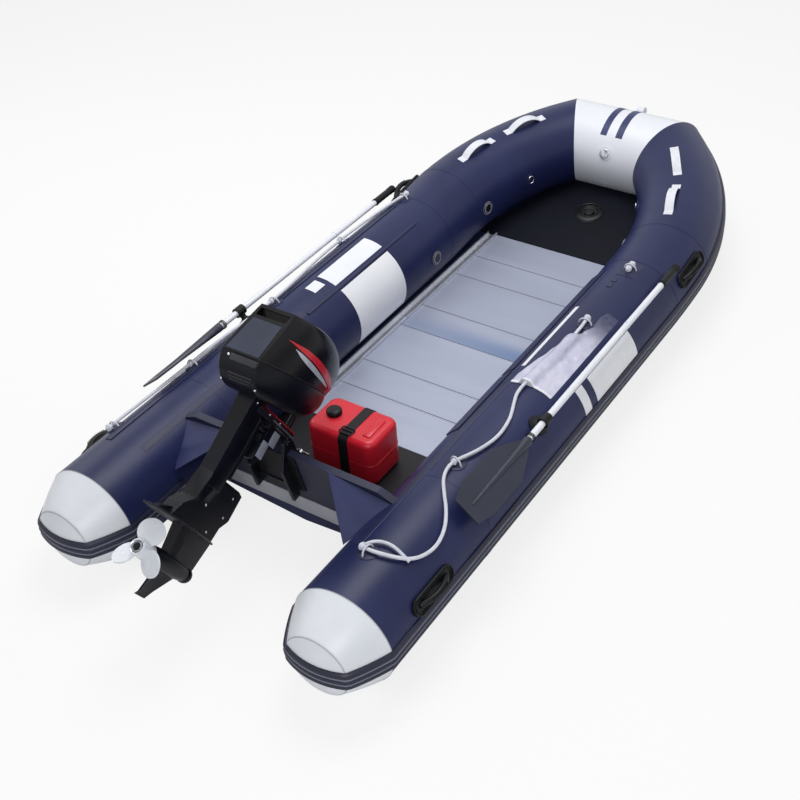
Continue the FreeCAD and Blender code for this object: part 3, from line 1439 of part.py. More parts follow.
def main_leg(grow):
    """The housing behind the steering tube, grown for its seats in other pieces."""
    front = gap_y + grow
    wide, low, narrow = [leg_w * share + grow for share in LEG_SHARES]
    lean = leg_w / 5
    return loft_shape([leg_section(leg_top + grow, rear - lean - grow, front, wide, leg_w + grow),
                       leg_section(foot_z / 2, rear - grow, front, low, leg_w + grow),
                       leg_section(foot_z * 1.2, rear - grow, front, narrow, leg_w + grow)])


foot_sections = []
for drop_share, back_share, front_share, half_share in FOOT_SHARES:
    half = leg_w * half_share
    foot_sections.append(leg_section(plate_z * drop_share, BACK - size("foot_back") * back_share,
                                     BACK + size("foot_front") * front_share, half, half))
foot_solid = loft_shape(foot_sections, True)
fin_high, fin_low, fin_back, fin_half = FIN_SHARES
fin_y = BACK - size("foot_back")
fin = side_plate([(fin_y * 0.9, plate_z * fin_high),
                  (BACK - size("foot_back") * fin_back, plate_z * fin_low),
                  (BACK - size("foot_back") * fin_back, plate_z + gap), (fin_y * 0.9, plate_z + gap)],
                 -leg_w * fin_half, leg_w * fin_half)
shaft_top = yoke_z + yoke_h
steer_shaft = Part.makeCylinder(size("swivel_shaft"), shaft_top - foot_z + leg_w,
                                vec(0, BACK, foot_z - leg_w), Z_AXIS)
yoke_w = size("yoke_width")
yoke = Part.makeBox(yoke_w, BACK - MOVING - gap_y + yoke_w, yoke_h,
                    vec(-yoke_w / 2, gap_y - yoke_w / 2, yoke_z))
slot = Part.makeBox(yoke_w * 1.4, yoke_w * 3, yoke_h + 2 * gap,
                    vec(-yoke_w * 0.8, BACK - gap, shaft_top))
leg = main_leg(0).cut(slot).fuse([foot_solid, fin, steer_shaft, yoke])
node("drive_leg", feature("drive_leg", tilted(leg)))

# Gearcase: anti-ventilation plate, strut, torpedo and skeg
PLATE_SHARES = ((0.25, 0.377), (0.6, 0.185), (0.95, -0.30), (0.97, -0.68), (0.4, -1))
STRUT_SHARES = ((0.65, 0.43, 3.1, 2.95), (0.42, 0.26, 2.76, 2.58))
NOSE_SHARES = (0.92, 1.05, 0.74, 1.7, 2.9)
SKEG_SHARES = ((1.45, 0), (-2.6, 0), (-3.3, 0.9), (-3.65, 1), (-2.05, 1), (-1.3, 0.75))
hub_z = -size("hub_drop")
torpedo_r = size("torpedo_radius")
aft_end = BACK - size("propeller_back")
plate_t = size("plate_wall")
plate_half = size("plate_half_width")
plate_back = size("plate_back")
plate_pts = [vec(plate_half * x, BACK + plate_back * y, plate_z - plate_t)
             for x, y in PLATE_SHARES]
plate_pts += [vec(-p.x, p.y, p.z) for p in reversed(plate_pts)]
plate = Part.Face(Part.makePolygon(plate_pts + plate_pts[:1])).extrude(vec(0, 0, plate_t))
strut_sections = []
for z, (half_aft, half_fore, aft_share, fore_share) in zip(
        (plate_z - gap, hub_z + torpedo_r / 2), STRUT_SHARES):
    strut_sections.append(leg_section(z, BACK - torpedo_r * aft_share,
                                      BACK + torpedo_r * fore_share,
                                      leg_w * half_aft, leg_w * half_fore))
strut = loft_shape(strut_sections)
aft_share, middle_share, root_share, root_y_share, nose_share = NOSE_SHARES
nose_y = BACK + torpedo_r * nose_share
root_y = BACK + torpedo_r * root_y_share
nose_root = torpedo_r * root_share
nose_centre = (nose_y ** 2 - root_y ** 2 - nose_root ** 2) / (2 * (nose_y - root_y))
nose_sweep = math.atan2(nose_root, root_y - nose_centre) / 2
nose_middle = vec((nose_y - nose_centre) * math.sin(nose_sweep),
                  nose_centre + (nose_y - nose_centre) * math.cos(nose_sweep), 0)
tail = vec(torpedo_r * aft_share, aft_end + plate_t / 2, 0)
profile = Part.Wire([
    Part.LineSegment(vec(0, tail.y, 0), tail).toShape(),
    Part.Arc(tail, vec(torpedo_r, BACK - torpedo_r * middle_share, 0),
             vec(nose_root, root_y, 0)).toShape(),
    Part.Arc(vec(nose_root, root_y, 0), nose_middle, vec(0, nose_y, 0)).toShape(),
    Part.LineSegment(vec(0, nose_y, 0), vec(0, tail.y, 0)).toShape()])
torpedo = Part.Face(profile).revolve(ORIGIN, Y_AXIS, 360)
torpedo.translate(vec(0, 0, hub_z))
skeg_fall = size("skeg_drop") - size("hub_drop")
skeg_half = size("skeg_wall") / 2
skeg = side_plate([(BACK + torpedo_r * y, hub_z - skeg_fall * z) for y, z in SKEG_SHARES],
                  -skeg_half, skeg_half)
gearcase = plate.fuse([strut, torpedo, skeg])
shaft_r = size("drive_shaft_radius")
shaft_in = torpedo_r * 2
gearcase = gearcase.cut(Part.makeCylinder(shaft_r + size("running_gap"), shaft_in + torpedo_r / 3,
                                          vec(0, aft_end - torpedo_r / 8, hub_z), Y_AXIS))
node("gearcase", feature("gearcase", tilted(gearcase)))

# Propeller: hollow hub, shaft, nut and three pitched blades
BLADE_ANGLES = (-2, 118, 238)
BLADE_PITCH = 28
BLADE_SHARE = 0.42
HUB_SHARES = (0.84, 0.68, 0.34)
NUT_SHARES = ((0, -0.1), (0.85, -0.1), (1, 0.6), (0.55, 1.3), (0, 1.3))
prop_r = size("propeller_radius")
hub_rad = size("propeller_hub")
prop_len = size("propeller_length")
aft_share, hollow_share, depth_share = HUB_SHARES
prop_y = aft_end - prop_len
prop_hub = Part.makeCone(hub_rad * aft_share, hub_rad, prop_len, vec(0, prop_y, hub_z), Y_AXIS)
prop_hub = prop_hub.cut(Part.makeCylinder(hub_rad * hollow_share, prop_len * depth_share,
                                          vec(0, prop_y, hub_z), Y_AXIS))
prop_shaft = Part.makeCylinder(shaft_r, shaft_in + prop_len, vec(0, prop_y, hub_z), Y_AXIS)


def blade_at(angle):
    """One blade: a round disc set at its pitch on the hub."""
    thick = size("blade_thickness")
    disc = Part.makeCylinder(prop_r * BLADE_SHARE, thick, vec(0, 0, -thick / 2), Z_AXIS)
    disc.Placement = place(vec(0, prop_r * (1 - BLADE_SHARE), 0)).multiply(
        place(ORIGIN, (Y_AXIS, BLADE_PITCH)))
    turn = place(vec(0, aft_end - prop_len / 2, hub_z), (Y_AXIS, angle), (X_AXIS, 90))
    disc.Placement = turn.multiply(disc.Placement)
    return disc


hollow = Part.makeCylinder(hub_rad * hollow_share, prop_len * depth_share * 2,
                           vec(0, prop_y - prop_len * depth_share, hub_z), Y_AXIS)
blades = [blade_at(angle).cut(hollow) for angle in BLADE_ANGLES]
nut_r = size("nut_radius")
nut = revolve_shape([(nut_r * x, nut_r * z) for x, z in NUT_SHARES],
                    place(vec(0, prop_y + prop_len * depth_share / 2, hub_z), (X_AXIS, 90)))
propeller = prop_hub.fuse([prop_shaft, nut] + blades)
node("propeller", feature("propeller", tilted(propeller)))

# Cowl and lower pan: their parting plane rises forward, the cowl leans forward on it
COWL = place(vec(0, BACK - size("cowl_back"), size("cowl_base")), (X_AXIS, size("cowl_lean")))
COWL_FRONT_SHARES = (0.30, 0.46, 0.94)
# (height, aft, front, width, rear width) shares of the cowl's height, length and widths
COWL_SHARES = ((0, 0, 1, 1, 1), (0.4, 0.082, 1.055, 1.018, 1), (0.755, 0.155, 0.967, 0.964, 0.97),
               (1, 0.204, 0.766, 0.714, 0.9))
PAN_SHARES = ((1, 0.18, 0.766, 0.66, 0.8), (0.625, 0.055, 0.967, 0.94, 0.97), (0, 0, 1, 1, 1))
ROOM_SHARES = (0.58, 0.5, 0.62, 0.22)
GRIP_SHARES = (0.79, 0.778, 0.93, 0.228)


def cowl_section(up, aft, front, width, rear_w):
    """Outline at one height: flat rear face, bowed sides and a round front."""
    length = front - aft
    half_w = width / 2
    half_r = rear_w / 2
    nose_share, wide_share, front_share = COWL_FRONT_SHARES
    front_w = width * nose_share
    return up, [(-half_r, aft), (half_r, aft),
                ((half_w, aft + length * wide_share), (front_w, aft + length * front_share)),
                ((0, front), (-front_w, aft + length * front_share)),
                ((-half_w, aft + length * wide_share), (-half_r, aft))]


cowl_l = size("cowl_length")
cowl_w = size("cowl_width")
cowl_h = size("cowl_height")
rear_w = size("rear_width")
cowl = loft_shape([cowl_section(cowl_h * up + (0 if up else gap), cowl_l * aft, cowl_l * front,
                                cowl_w * width, rear_w * rear_share)
                   for up, aft, front, width, rear_share in COWL_SHARES])
block_w = cowl_w * ROOM_SHARES[0]
block_l = cowl_l * ROOM_SHARES[1]
block_h = cowl_h * ROOM_SHARES[2]
block_y = cowl_l * ROOM_SHARES[3]
room = Part.makeBox(block_w + MOVING, block_l + MOVING, block_h + MOVING / 2,
                    vec(-(block_w + MOVING) / 2, block_y - MOVING / 2, 0))
grip_w = rear_w * GRIP_SHARES[0]
grip_low = cowl_h * GRIP_SHARES[1]
grip_high = cowl_h * GRIP_SHARES[2]
recess = Part.makeBox(grip_w, cowl_l * GRIP_SHARES[3], grip_high - grip_low,
                      vec(-grip_w / 2, 0, grip_low))
cowl = cowl.cut(room).cut(recess)
cowl.Placement = COWL
node("cowl", feature("cowl", tilted(cowl)))
powerhead = Part.makeBox(block_w, block_l, block_h - gap, vec(-block_w / 2, block_y, gap))
powerhead.Placement = COWL
node("powerhead", feature("powerhead", tilted(powerhead)))

pan_d = size("pan_depth")
pan = loft_shape([cowl_section(-pan_d * up, cowl_l * aft, cowl_l * front, cowl_w * width,
                               rear_w * rear_share)
                  for up, aft, front, width, rear_share in PAN_SHARES])
pan.Placement = COWL
seat = main_leg(gap)
pan = pan.cut(seat)
node("lower_pan", feature("lower_pan", tilted(pan)))

# Tiller folded up against the front of the cowl
TILLER_GAP_SHARE = 0.07
tiller_x = -size("tiller_shift")
tiller_y = BACK - size("cowl_back") + cowl_l * (1 + TILLER_GAP_SHARE)
tiller_r = size("tiller_radius")
tiller_grip = size("tiller_grip_radius")
tiller_z = shaft_top + gap
tiller_l = size("tiller_length")
tiller_bar = Part.makeCylinder(tiller_r, tiller_l, vec(tiller_x, tiller_y, tiller_z), Z_AXIS)
tiller_foot = Part.makeBox(tiller_r * 4, tiller_y + tiller_r * 1.4 - BACK, yoke_h,
                           vec(tiller_x - tiller_r * 1.5, BACK, tiller_z))
grip = Part.makeCylinder(tiller_grip, size("tiller_grip_length"),
                         vec(tiller_x, tiller_y, tiller_z + tiller_l), Z_AXIS)
tiller = tiller_bar.fuse([tiller_foot, grip])
node("tiller", feature("tiller", tilted(tiller)))

# Write every sub-part
doc.recompute()
problems = [item.Label for item in doc.Objects
            if {"Invalid", "Error"} & set(item.State)]
for label, piece in nodes.items():
    shape = piece.Shape
    if shape.isNull() or not shape.isValid() or not shape.Solids:
        problems.append(label)
if problems:
    raise RuntimeError("failed: " + ", ".join(problems))
for label, piece in nodes.items():
    piece.Shape.exportStep(f"parts/{label}.step")
print("nodes", len(nodes))
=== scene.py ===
import json
import math
import bpy
import bmesh
from mathutils import Matrix, Vector
from mathutils.bvhtree import BVHTree

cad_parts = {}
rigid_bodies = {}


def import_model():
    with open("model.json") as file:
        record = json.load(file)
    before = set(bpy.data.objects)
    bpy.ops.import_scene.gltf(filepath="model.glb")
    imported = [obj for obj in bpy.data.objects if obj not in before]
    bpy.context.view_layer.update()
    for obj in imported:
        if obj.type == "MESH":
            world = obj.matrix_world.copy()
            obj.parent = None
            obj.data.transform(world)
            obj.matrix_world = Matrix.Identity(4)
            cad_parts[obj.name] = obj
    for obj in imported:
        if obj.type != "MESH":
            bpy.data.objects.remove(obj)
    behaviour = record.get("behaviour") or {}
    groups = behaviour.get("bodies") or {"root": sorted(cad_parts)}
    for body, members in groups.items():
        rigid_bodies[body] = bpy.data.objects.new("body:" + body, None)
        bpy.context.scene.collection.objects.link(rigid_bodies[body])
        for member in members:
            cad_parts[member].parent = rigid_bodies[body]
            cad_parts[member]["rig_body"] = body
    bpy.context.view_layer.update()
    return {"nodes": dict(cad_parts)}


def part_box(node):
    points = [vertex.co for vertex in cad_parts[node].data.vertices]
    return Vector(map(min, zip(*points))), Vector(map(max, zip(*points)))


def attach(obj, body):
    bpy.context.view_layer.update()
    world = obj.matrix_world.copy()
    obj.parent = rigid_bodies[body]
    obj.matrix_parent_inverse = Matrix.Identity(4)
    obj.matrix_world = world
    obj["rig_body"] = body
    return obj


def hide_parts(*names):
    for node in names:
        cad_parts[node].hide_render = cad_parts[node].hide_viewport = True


# Inflatable boat with an aluminium plank floor, two stowed oars, grab ropes, a
# red fuel tank and a tilted outboard motor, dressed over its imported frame.
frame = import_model()

# Studio: the photograph's high stern quarter view, a pale floor that keeps the
# shadow, white surroundings for camera and gloss, and three soft area lamps.
CAMERA_RIGHT = (0.8311, 0.55269, -0.06169)
CAMERA_UP = (-0.30832, 0.55024, 0.776)
CAMERA_BACK = (0.46283, -0.62591, 0.62771)
CAMERA_PLACE = (2.5482, -3.848, 3.592)
LENS_MM = 56.95
SENSOR_MM = 36
FAR_CLIP = 100
WORLD_LIGHT = 0.38
FLOOR_HALF = 60
FLOOR_GLOW = 0.8
LAMPS = (("overhead", (-0.3, 0.9, 5.0), (0, 0.2, 0.2), 3.2, 146),
         ("stern_fill", (2.6, -4.4, 3.2), (0, -0.4, 0.2), 2.6, 70),
         ("port_fill", (-4.2, 0.2, 3.0), (0, 0, 0.2), 2.6, 28))


def placed(name, data):
    """Puts a mesh, curve, lamp or camera into the scene as an object."""
    thing = bpy.data.objects.new(name, data)
    bpy.context.scene.collection.objects.link(thing)
    return thing


def feed(tree, node, sockets):
    """Sets inputs of a node to values, or links them to other nodes' outputs."""
    for key, value in sockets.items():
        if isinstance(value, bpy.types.NodeSocket):
            tree.links.new(value, node.inputs[key])
        else:
            node.inputs[key].default_value = value


def node_in(tree, kind, sockets=None, **settings):
    """A new node with its settings made and its inputs fed."""
    node = tree.nodes.new(kind)
    for key, value in settings.items():
        setattr(node, key, value)
    feed(tree, node, sockets or {})
    return node


def math_in(tree, operation, first, second):
    """Result of one mathematical operation on two values or sockets."""
    return node_in(tree, "ShaderNodeMath", {0: first, 1: second}, operation=operation).outputs[0]


def shader_tree(name):
    """A new material, its node tree and its shader."""
    material = bpy.data.materials.new(name)
    material.use_nodes = True
    return material, material.node_tree, material.node_tree.nodes["Principled BSDF"]


scene = bpy.context.scene
scene.view_settings.view_transform = "Standard"
scene.camera = placed("photo_camera", bpy.data.cameras.new("photo_camera"))
scene.camera.data.lens = LENS_MM
scene.camera.data.sensor_width = SENSOR_MM
scene.camera.data.clip_end = FAR_CLIP
scene.camera.matrix_world = Matrix((
    (*CAMERA_RIGHT, 0), (*CAMERA_UP, 0), (*CAMERA_BACK, 0), (*CAMERA_PLACE, 1))).transposed()

scene.world = bpy.data.worlds.new("studio_world")
scene.world.use_nodes = True
sky = scene.world.node_tree
rays = node_in(sky, "ShaderNodeLightPath").outputs
seen = math_in(sky, "MAXIMUM", rays["Is Camera Ray"], rays["Is Glossy Ray"])
seen = math_in(sky, "MAXIMUM", seen, rays["Is Transmission Ray"])
level = node_in(sky, "ShaderNodeMapRange", {"Value": seen, "To Min": WORLD_LIGHT})
feed(sky, sky.nodes["Background"],
     {"Color": (1, 1, 1, 1), "Strength": level.outputs["Result"]})

for name, place, aim, size, power in LAMPS:
    lamp = placed(name, bpy.data.lights.new(name, "AREA"))
    lamp.data.shape = "DISK"
    lamp.data.size = size
    lamp.data.energy = power
    lamp.location = place
    lamp.rotation_euler = (Vector(aim) - Vector(place)).to_track_quat("-Z", "Y").to_euler()

floor_finish, tree, shader = shader_tree("studio_floor")
feed(tree, shader, {"Base Color": (0.9, 0.9, 0.9, 1), "Roughness": 0.9,
                    "Specular IOR Level": 0.1})
glow = node_in(tree, "ShaderNodeEmission", {"Strength": 1})
share = math_in(tree, "MULTIPLY", node_in(tree, "ShaderNodeLightPath").outputs["Is Camera Ray"],
                FLOOR_GLOW)
mix = node_in(tree, "ShaderNodeMixShader",
              {"Fac": share, 1: shader.outputs[0], 2: glow.outputs[0]})
feed(tree, tree.nodes["Material Output"], {"Surface": mix.outputs[0]})
floor_mesh = bpy.data.meshes.new("studio_floor")
floor_mesh.from_pydata([(x * FLOOR_HALF, y * FLOOR_HALF, 0)
                        for x, y in ((-1, -1), (1, -1), (1, 1), (-1, 1))], [], [(0, 1, 2, 3)])
floor_mesh.materials.append(floor_finish)
placed("studio_floor", floor_mesh)

# Side tubes: navy coated fabric blown up hard, one straight run that lifts and
# curves in to the mitred bow seams. Panels lap on glued tapes that stand proud.
TONE_STOPS = (0.3, 0.72)
PALE_EDGE_POINTINESS = (0.53, 0.64)
COAT_ROUGHNESS = 0.12


def srgb(red, green, blue):
    """Linear colour of the 0 to 255 values that a colour picker shows."""
    def linear(value):
        value = value / 255
        return value / 12.92 if value <= 0.04045 else ((value + 0.055) / 1.055) ** 2.4
    return linear(red), linear(green), linear(blue), 1


def bumped(tree, height, distance, strength, normal=None):
    """Normal of a bump, on top of another normal where one is given."""
    sockets = {"Height": height, "Distance": distance, "Strength": strength}
    if normal is not None:
        sockets["Normal"] = normal
    return node_in(tree, "ShaderNodeBump", sockets).outputs["Normal"]


def mixed(tree, share, under, over):
    """Colour that turns from one into the other by a share."""
    return node_in(tree, "ShaderNodeMix", {"Factor": share, "A": under, "B": over},
                   data_type="RGBA").outputs["Result"]


def coating(name, colour, tint, patch=3.0, roughness=0.45, rough_spread=0.08, grain=400.0,
            grain_depth=0.0002, metallic=0.0, level=0.5, coat=0.0, stretch=(1, 1, 1),
            weave=None, swell=None, pale_edges=0.0):
    """A finish: two close colours in soft patches, uneven gloss and a grain.
    weave is (scale, depth) of a woven or ribbed bump on the UV map, swell the
    (scale, depth) of a slow unevenness, pale_edges how far edges turn pale; on the
    motor's black enamel that pale edge is a painted highlight."""
    material, tree, shader = shader_tree(name)
    colour, tint = srgb(*colour), srgb(*tint)
    coords = node_in(tree, "ShaderNodeTexCoord").outputs
    mapped = node_in(tree, "ShaderNodeMapping",
                     {"Vector": coords["Object"], "Scale": stretch}).outputs["Vector"]

    def noise(vector, **sockets):
        return node_in(tree, "ShaderNodeTexNoise", {"Vector": vector, **sockets}).outputs["Fac"]

    cloud = noise(mapped, Scale=patch, Detail=6, Roughness=0.62)
    tones = node_in(tree, "ShaderNodeValToRGB", {"Fac": cloud}, name="tones")
    for stop, place, shade in zip(tones.color_ramp.elements, TONE_STOPS, (colour, tint)):
        stop.position = place
        stop.color = shade
    tone = tones.outputs["Color"]
    # Edges turn pale by pointiness; on the motor's black enamel this is a painted highlight.
    if pale_edges:
        pointed = node_in(tree, "ShaderNodeNewGeometry").outputs["Pointiness"]
        edge = node_in(tree, "ShaderNodeMapRange", {
            "Value": pointed, "From Min": PALE_EDGE_POINTINESS[0], "From Max": PALE_EDGE_POINTINESS[1],
            "To Max": pale_edges})
        pale = tuple(min(1, value * 2.2 + 0.06) for value in tint[:3]) + (1,)
        tone = mixed(tree, edge.outputs["Result"], tone, pale)
    gloss = node_in(tree, "ShaderNodeMapRange", {
        "Value": cloud, "To Min": max(0.03, roughness - rough_spread),
        "To Max": min(1.0, roughness + rough_spread)})
    normal = bumped(tree, noise(mapped, Scale=grain, Detail=3), grain_depth, 0.6)
    if weave:
        bands = [node_in(tree, "ShaderNodeTexWave",
                         {"Vector": coords["UV"], "Scale": weave[0], "Distortion": 0.4},
                         bands_direction=way).outputs["Fac"] for way in ("X", "Y")]
        normal = bumped(tree, math_in(tree, "ADD", *bands), weave[1], 0.5, normal)
    if swell:
        normal = bumped(tree, noise(coords["Object"], Scale=swell[0], Detail=1), swell[1], 1.0,
                        normal)
    feed(tree, shader, {"Base Color": tone, "Roughness": gloss.outputs["Result"],
                        "Normal": normal, "Metallic": metallic, "Specular IOR Level": level,
                        "Coat Weight": coat, "Coat Roughness": COAT_ROUGHNESS})
    return material


def turned(first, second, angle):
    """The way that is turned by an angle from one way towards another."""
    return first * math.cos(angle) + second * math.sin(angle)


X_WAY, Y_WAY, Z_WAY = AXES = (Vector((1, 0, 0)), Vector((0, 1, 0)), Vector((0, 0, 1)))
TUBE_R = 0.21
TUBE_X = 0.603
SEAM_Y = -1.655
LIFT_Y = SEAM_Y + 2.234
LIFT_R = 2.64
LIFT = math.radians(6.5)
BOW_R = 1.301
TURN = math.radians(42.35)
BEND_Y = LIFT_Y + LIFT_R * math.sin(LIFT)
BEND_Z = TUBE_R + LIFT_R * (1 - math.cos(LIFT))
RISE_DIR = turned(Y_WAY, Z_WAY, LIFT)
RISE_UP = turned(Z_WAY, -Y_WAY, LIFT)
CORNER_X = TUBE_X - BOW_R * (1 - math.cos(TURN))
CORNER = RISE_DIR * (BOW_R * math.sin(TURN)) + Vector((0, BEND_Y, BEND_Z))
STRAIGHT = LIFT_Y - SEAM_Y
LIFT_END = STRAIGHT + LIFT_R * LIFT
BEND_END = LIFT_END + BOW_R * TURN


def tube_at(side, run):
    """Centre, tangent, outboard and up of a tube, run metres from the cone seam."""
    outboard = X_WAY * side
    if run <= STRAIGHT:
        return Vector((side * TUBE_X, SEAM_Y + run, TUBE_R)), Y_WAY, outboard, Z_WAY
    if run <= LIFT_END:
        angle = (run - STRAIGHT) / LIFT_R
        point = Vector((side * TUBE_X, LIFT_Y + LIFT_R * math.sin(angle),
                        TUBE_R + LIFT_R * (1 - math.cos(angle))))
        return point, turned(Y_WAY, Z_WAY, angle), outboard, turned(Z_WAY, -Y_WAY, angle)
    angle = min((run - LIFT_END) / BOW_R, TURN)
    tangent = turned(RISE_DIR, -outboard, angle)
    point = (Vector((side * (TUBE_X - BOW_R * (1 - math.cos(angle))), BEND_Y, BEND_Z))
             + RISE_DIR * (BOW_R * math.sin(angle)) + tangent * max(0, run - BEND_END))
    return point, tangent, turned(outboard, RISE_DIR, angle), RISE_UP


def on_skin(side, run, degrees, height=0.0):
    """Point over the skin, the outward normal and the way forward there."""
    centre, tangent, outboard, up_way = tube_at(side, run)
    normal = turned(outboard, up_way, math.radians(degrees))
    return centre + normal * (TUBE_R + height), normal, tangent


def shaded(mesh, smooth):
    """Smooth shading, with sharp edges from an angle in degrees."""
    for face in mesh.polygons:
        face.use_smooth = True
    mesh.set_sharp_from_angle(angle=math.radians(smooth))


def made_piece(name, bm, material, body, smooth=35.0):
    """Turns a bmesh into a piece that faces outward and rides on a body."""
    bmesh.ops.recalc_face_normals(bm, faces=bm.faces[:])
    mesh = bpy.data.meshes.new(name)
    bm.to_mesh(mesh)
    bm.free()
    mesh.materials.append(material)
    shaded(mesh, smooth)
    piece = placed(name, mesh)
    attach(piece, body)
    return piece


def seam_plane(side):
    """A point and the normal of the mitred seam between side tube and bow."""
    normal = (turned(RISE_DIR, X_WAY * -side, TURN) + X_WAY * -side).normalized()
    return Vector((side * CORNER_X, CORNER.y, CORNER.z)), normal


def mitred(bm, side, bow=False):
    """Cuts a skin off at the seam, keeping the side tube or else the bow."""
    point, normal = seam_plane(side)
    bmesh.ops.bisect_plane(bm, geom=bm.verts[:] + bm.edges[:] + bm.faces[:], plane_co=point,
                           plane_no=normal, clear_outer=not bow, clear_inner=bow)


def skinned(bm, rings, step, capped=False):
    """Skins closed rings of vertices with quads, with a UV map in metres."""
    layer = bm.loops.layers.uv.verify()
    lengths = [0.0]
    for first, second in zip(rings, rings[1:]):
        lengths.append(lengths[-1] + (second[0].co - first[0].co).length)
    count = len(rings[0])
    for row, (first, second) in enumerate(zip(rings, rings[1:])):
        for k in range(count):
            k2 = (k + 1) % count
            face = bm.faces.new((first[k], first[k2], second[k2], second[k]))
            corners = ((row, k), (row, k + 1), (row + 1, k + 1), (row + 1, k))
            for loop, (u, v) in zip(face.loops, corners):
                loop[layer].uv = (lengths[u], v * step)
    if capped:
        bm.faces.new(rings[0][::-1])
        bm.faces.new(rings[-1])


def tube_patch(bm, side, runs, low_edge, high_edge, top, bottom=0.0003, across=10, crumple=None):
    """A closed sheet that lies on the tube between two edges, in degrees."""
    layer = bm.loops.layers.uv.verify()
    levels = []
    for height in (bottom, top):
        grid = []
        for run in runs:
            first = low_edge(run) if callable(low_edge) else low_edge
            last = high_edge(run) if callable(high_edge) else high_edge
            row = []
            for k in range(across + 1):
                degrees = first + (last - first) * k / across
                lift = crumple(run, degrees) if crumple and height == top else 0
                vert = bm.verts.new(on_skin(side, run, degrees, height + lift)[0])
                row.append((vert, (run, math.radians(degrees) * TUBE_R)))
            grid.append(row)
        levels.append(grid)

    def quad(*corners):
        face = bm.faces.new([corner[0] for corner in corners])
        for loop, corner in zip(face.loops, corners):
            loop[layer].uv = corner[1]

    low, high = levels
    last_row = len(runs) - 1
    for i in range(last_row):
        for k in range(across):
            quad(high[i][k], high[i][k + 1], high[i + 1][k + 1], high[i + 1][k])
            quad(low[i][k], low[i + 1][k], low[i + 1][k + 1], low[i][k + 1])
        for k in (0, across):
            quad(low[i][k], low[i + 1][k], high[i + 1][k], high[i][k])
    for i in (0, last_row):
        for k in range(across):
            quad(low[i][k], low[i][k + 1], high[i][k + 1], high[i][k])


def spread(first, last, step):
    """Evenly spread values from first to last, about a step apart."""
    count = max(1, round(abs(last - first) / step))
    return [first + (last - first) * k / count for k in range(count + 1)]


def tube_runs(first, step):
    """Runs from first to the end of the tube, closer together in its bends."""
    return (spread(first, STRAIGHT, step) + spread(STRAIGHT, LIFT_END, 0.04)[1:]
            + spread(LIFT_END, BEND_END, 0.03)[1:])


FINE_GRAIN = dict(grain=900, grain_depth=0.0001)
WOVEN = dict(weave=(130, 0.00008), **FINE_GRAIN)
navy_fabric = coating("navy_tube_fabric", (25, 31, 69), (36, 43, 85), patch=2.2,
                      roughness=0.38, rough_spread=0.05, level=0.26, swell=(3.5, 0.004),
                      **WOVEN)
RING_SIDES = 96
RING_STEP = math.tau * TUBE_R / RING_SIDES
TAPE_HEIGHT = 0.0009
TAPE_WIDTH = 0.024
TAPE_DEGREES = (-70, 250)
LONG_TAPE_DEGREES = (232, 240)
RING_TAPES = {-1: (0.66, 2.33, 2.62), 1: (0.66, 2.33, 2.655)}

for side_name, side in (("port", -1), ("starboard", 1)):
    bm = bmesh.new()
    rings = [[bm.verts.new(on_skin(side, run, 360 * k / RING_SIDES)[0])
              for k in range(RING_SIDES)] for run in tube_runs(0, 0.05) + [BEND_END + TUBE_R]]
    skinned(bm, rings, RING_STEP)
    mitred(bm, side)
    bmesh.ops.holes_fill(bm, edges=[e for e in bm.edges if e.is_boundary], sides=0)
    skin = made_piece(side_name + "_tube_skin", bm, navy_fabric, "hull")
    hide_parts(side_name + "_tube")

    bm = bmesh.new()
    for run in RING_TAPES[side]:
        tube_patch(bm, side, spread(run, run + TAPE_WIDTH, 0.012), *TAPE_DEGREES, TAPE_HEIGHT,
                   across=90)
    tube_patch(bm, side, spread(0.02, STRAIGHT, 0.1), *LONG_TAPE_DEGREES, TAPE_HEIGHT)
    made_piece(side_name + "_seam_tapes", bm, navy_fabric, "hull")

# Bow tube: the white middle panel between the two mitred seams, glued over the
# ends of the side tubes, with two navy stripes wrapped over its crown.
white_fabric = coating("white_tube_fabric", (226, 229, 237), (234, 236, 243), patch=2.6,
                       roughness=0.36, rough_spread=0.05, level=0.45, swell=(3.5, 0.003),
                       **WOVEN)
navy_band = coating("navy_band_fabric", (30, 39, 84), (38, 49, 99), patch=8, roughness=0.42,
                    level=0.4, **FINE_GRAIN)
HALF_SPAN = CORNER_X + TUBE_R
BOW_PANEL_HEIGHT = 0.0009
BOW_STRIPES = ((-0.055, -0.02), (0.03, 0.067))
STRIPE_DEGREES = (34, 129)
STRIPE_LOW = 0.0004
STRIPE_HIGH = 0.0018


def over_bow(x, degrees, height):
    """A point over the bow tube, counted from its front over the top."""
    normal = turned(RISE_DIR, RISE_UP, math.radians(degrees))
    return Vector((x, CORNER.y, CORNER.z)) + normal * (TUBE_R + height)


bm = bmesh.new()
skinned(bm, [[bm.verts.new(over_bow(x, 360 * k / RING_SIDES, BOW_PANEL_HEIGHT))
              for k in range(RING_SIDES)] for x in spread(-HALF_SPAN, HALF_SPAN, 0.03)],
        RING_STEP)
for side in (-1, 1):
    mitred(bm, side, bow=True)
bmesh.ops.holes_fill(bm, edges=[e for e in bm.edges if e.is_boundary], sides=0)
bow_skin = made_piece("bow_tube_skin", bm, white_fabric, "hull")
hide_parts("bow_tube")

bm = bmesh.new()
for x0, x1 in BOW_STRIPES:
    corners = ((x0, STRIPE_LOW), (x0, STRIPE_HIGH), (x1, STRIPE_HIGH), (x1, STRIPE_LOW))
    skinned(bm, [[bm.verts.new(over_bow(x, degrees, height)) for x, height in corners]
                 for degrees in spread(*STRIPE_DEGREES, 2.5)], 0.02, capped=True)
made_piece("bow_stripes", bm, navy_band, "hull")

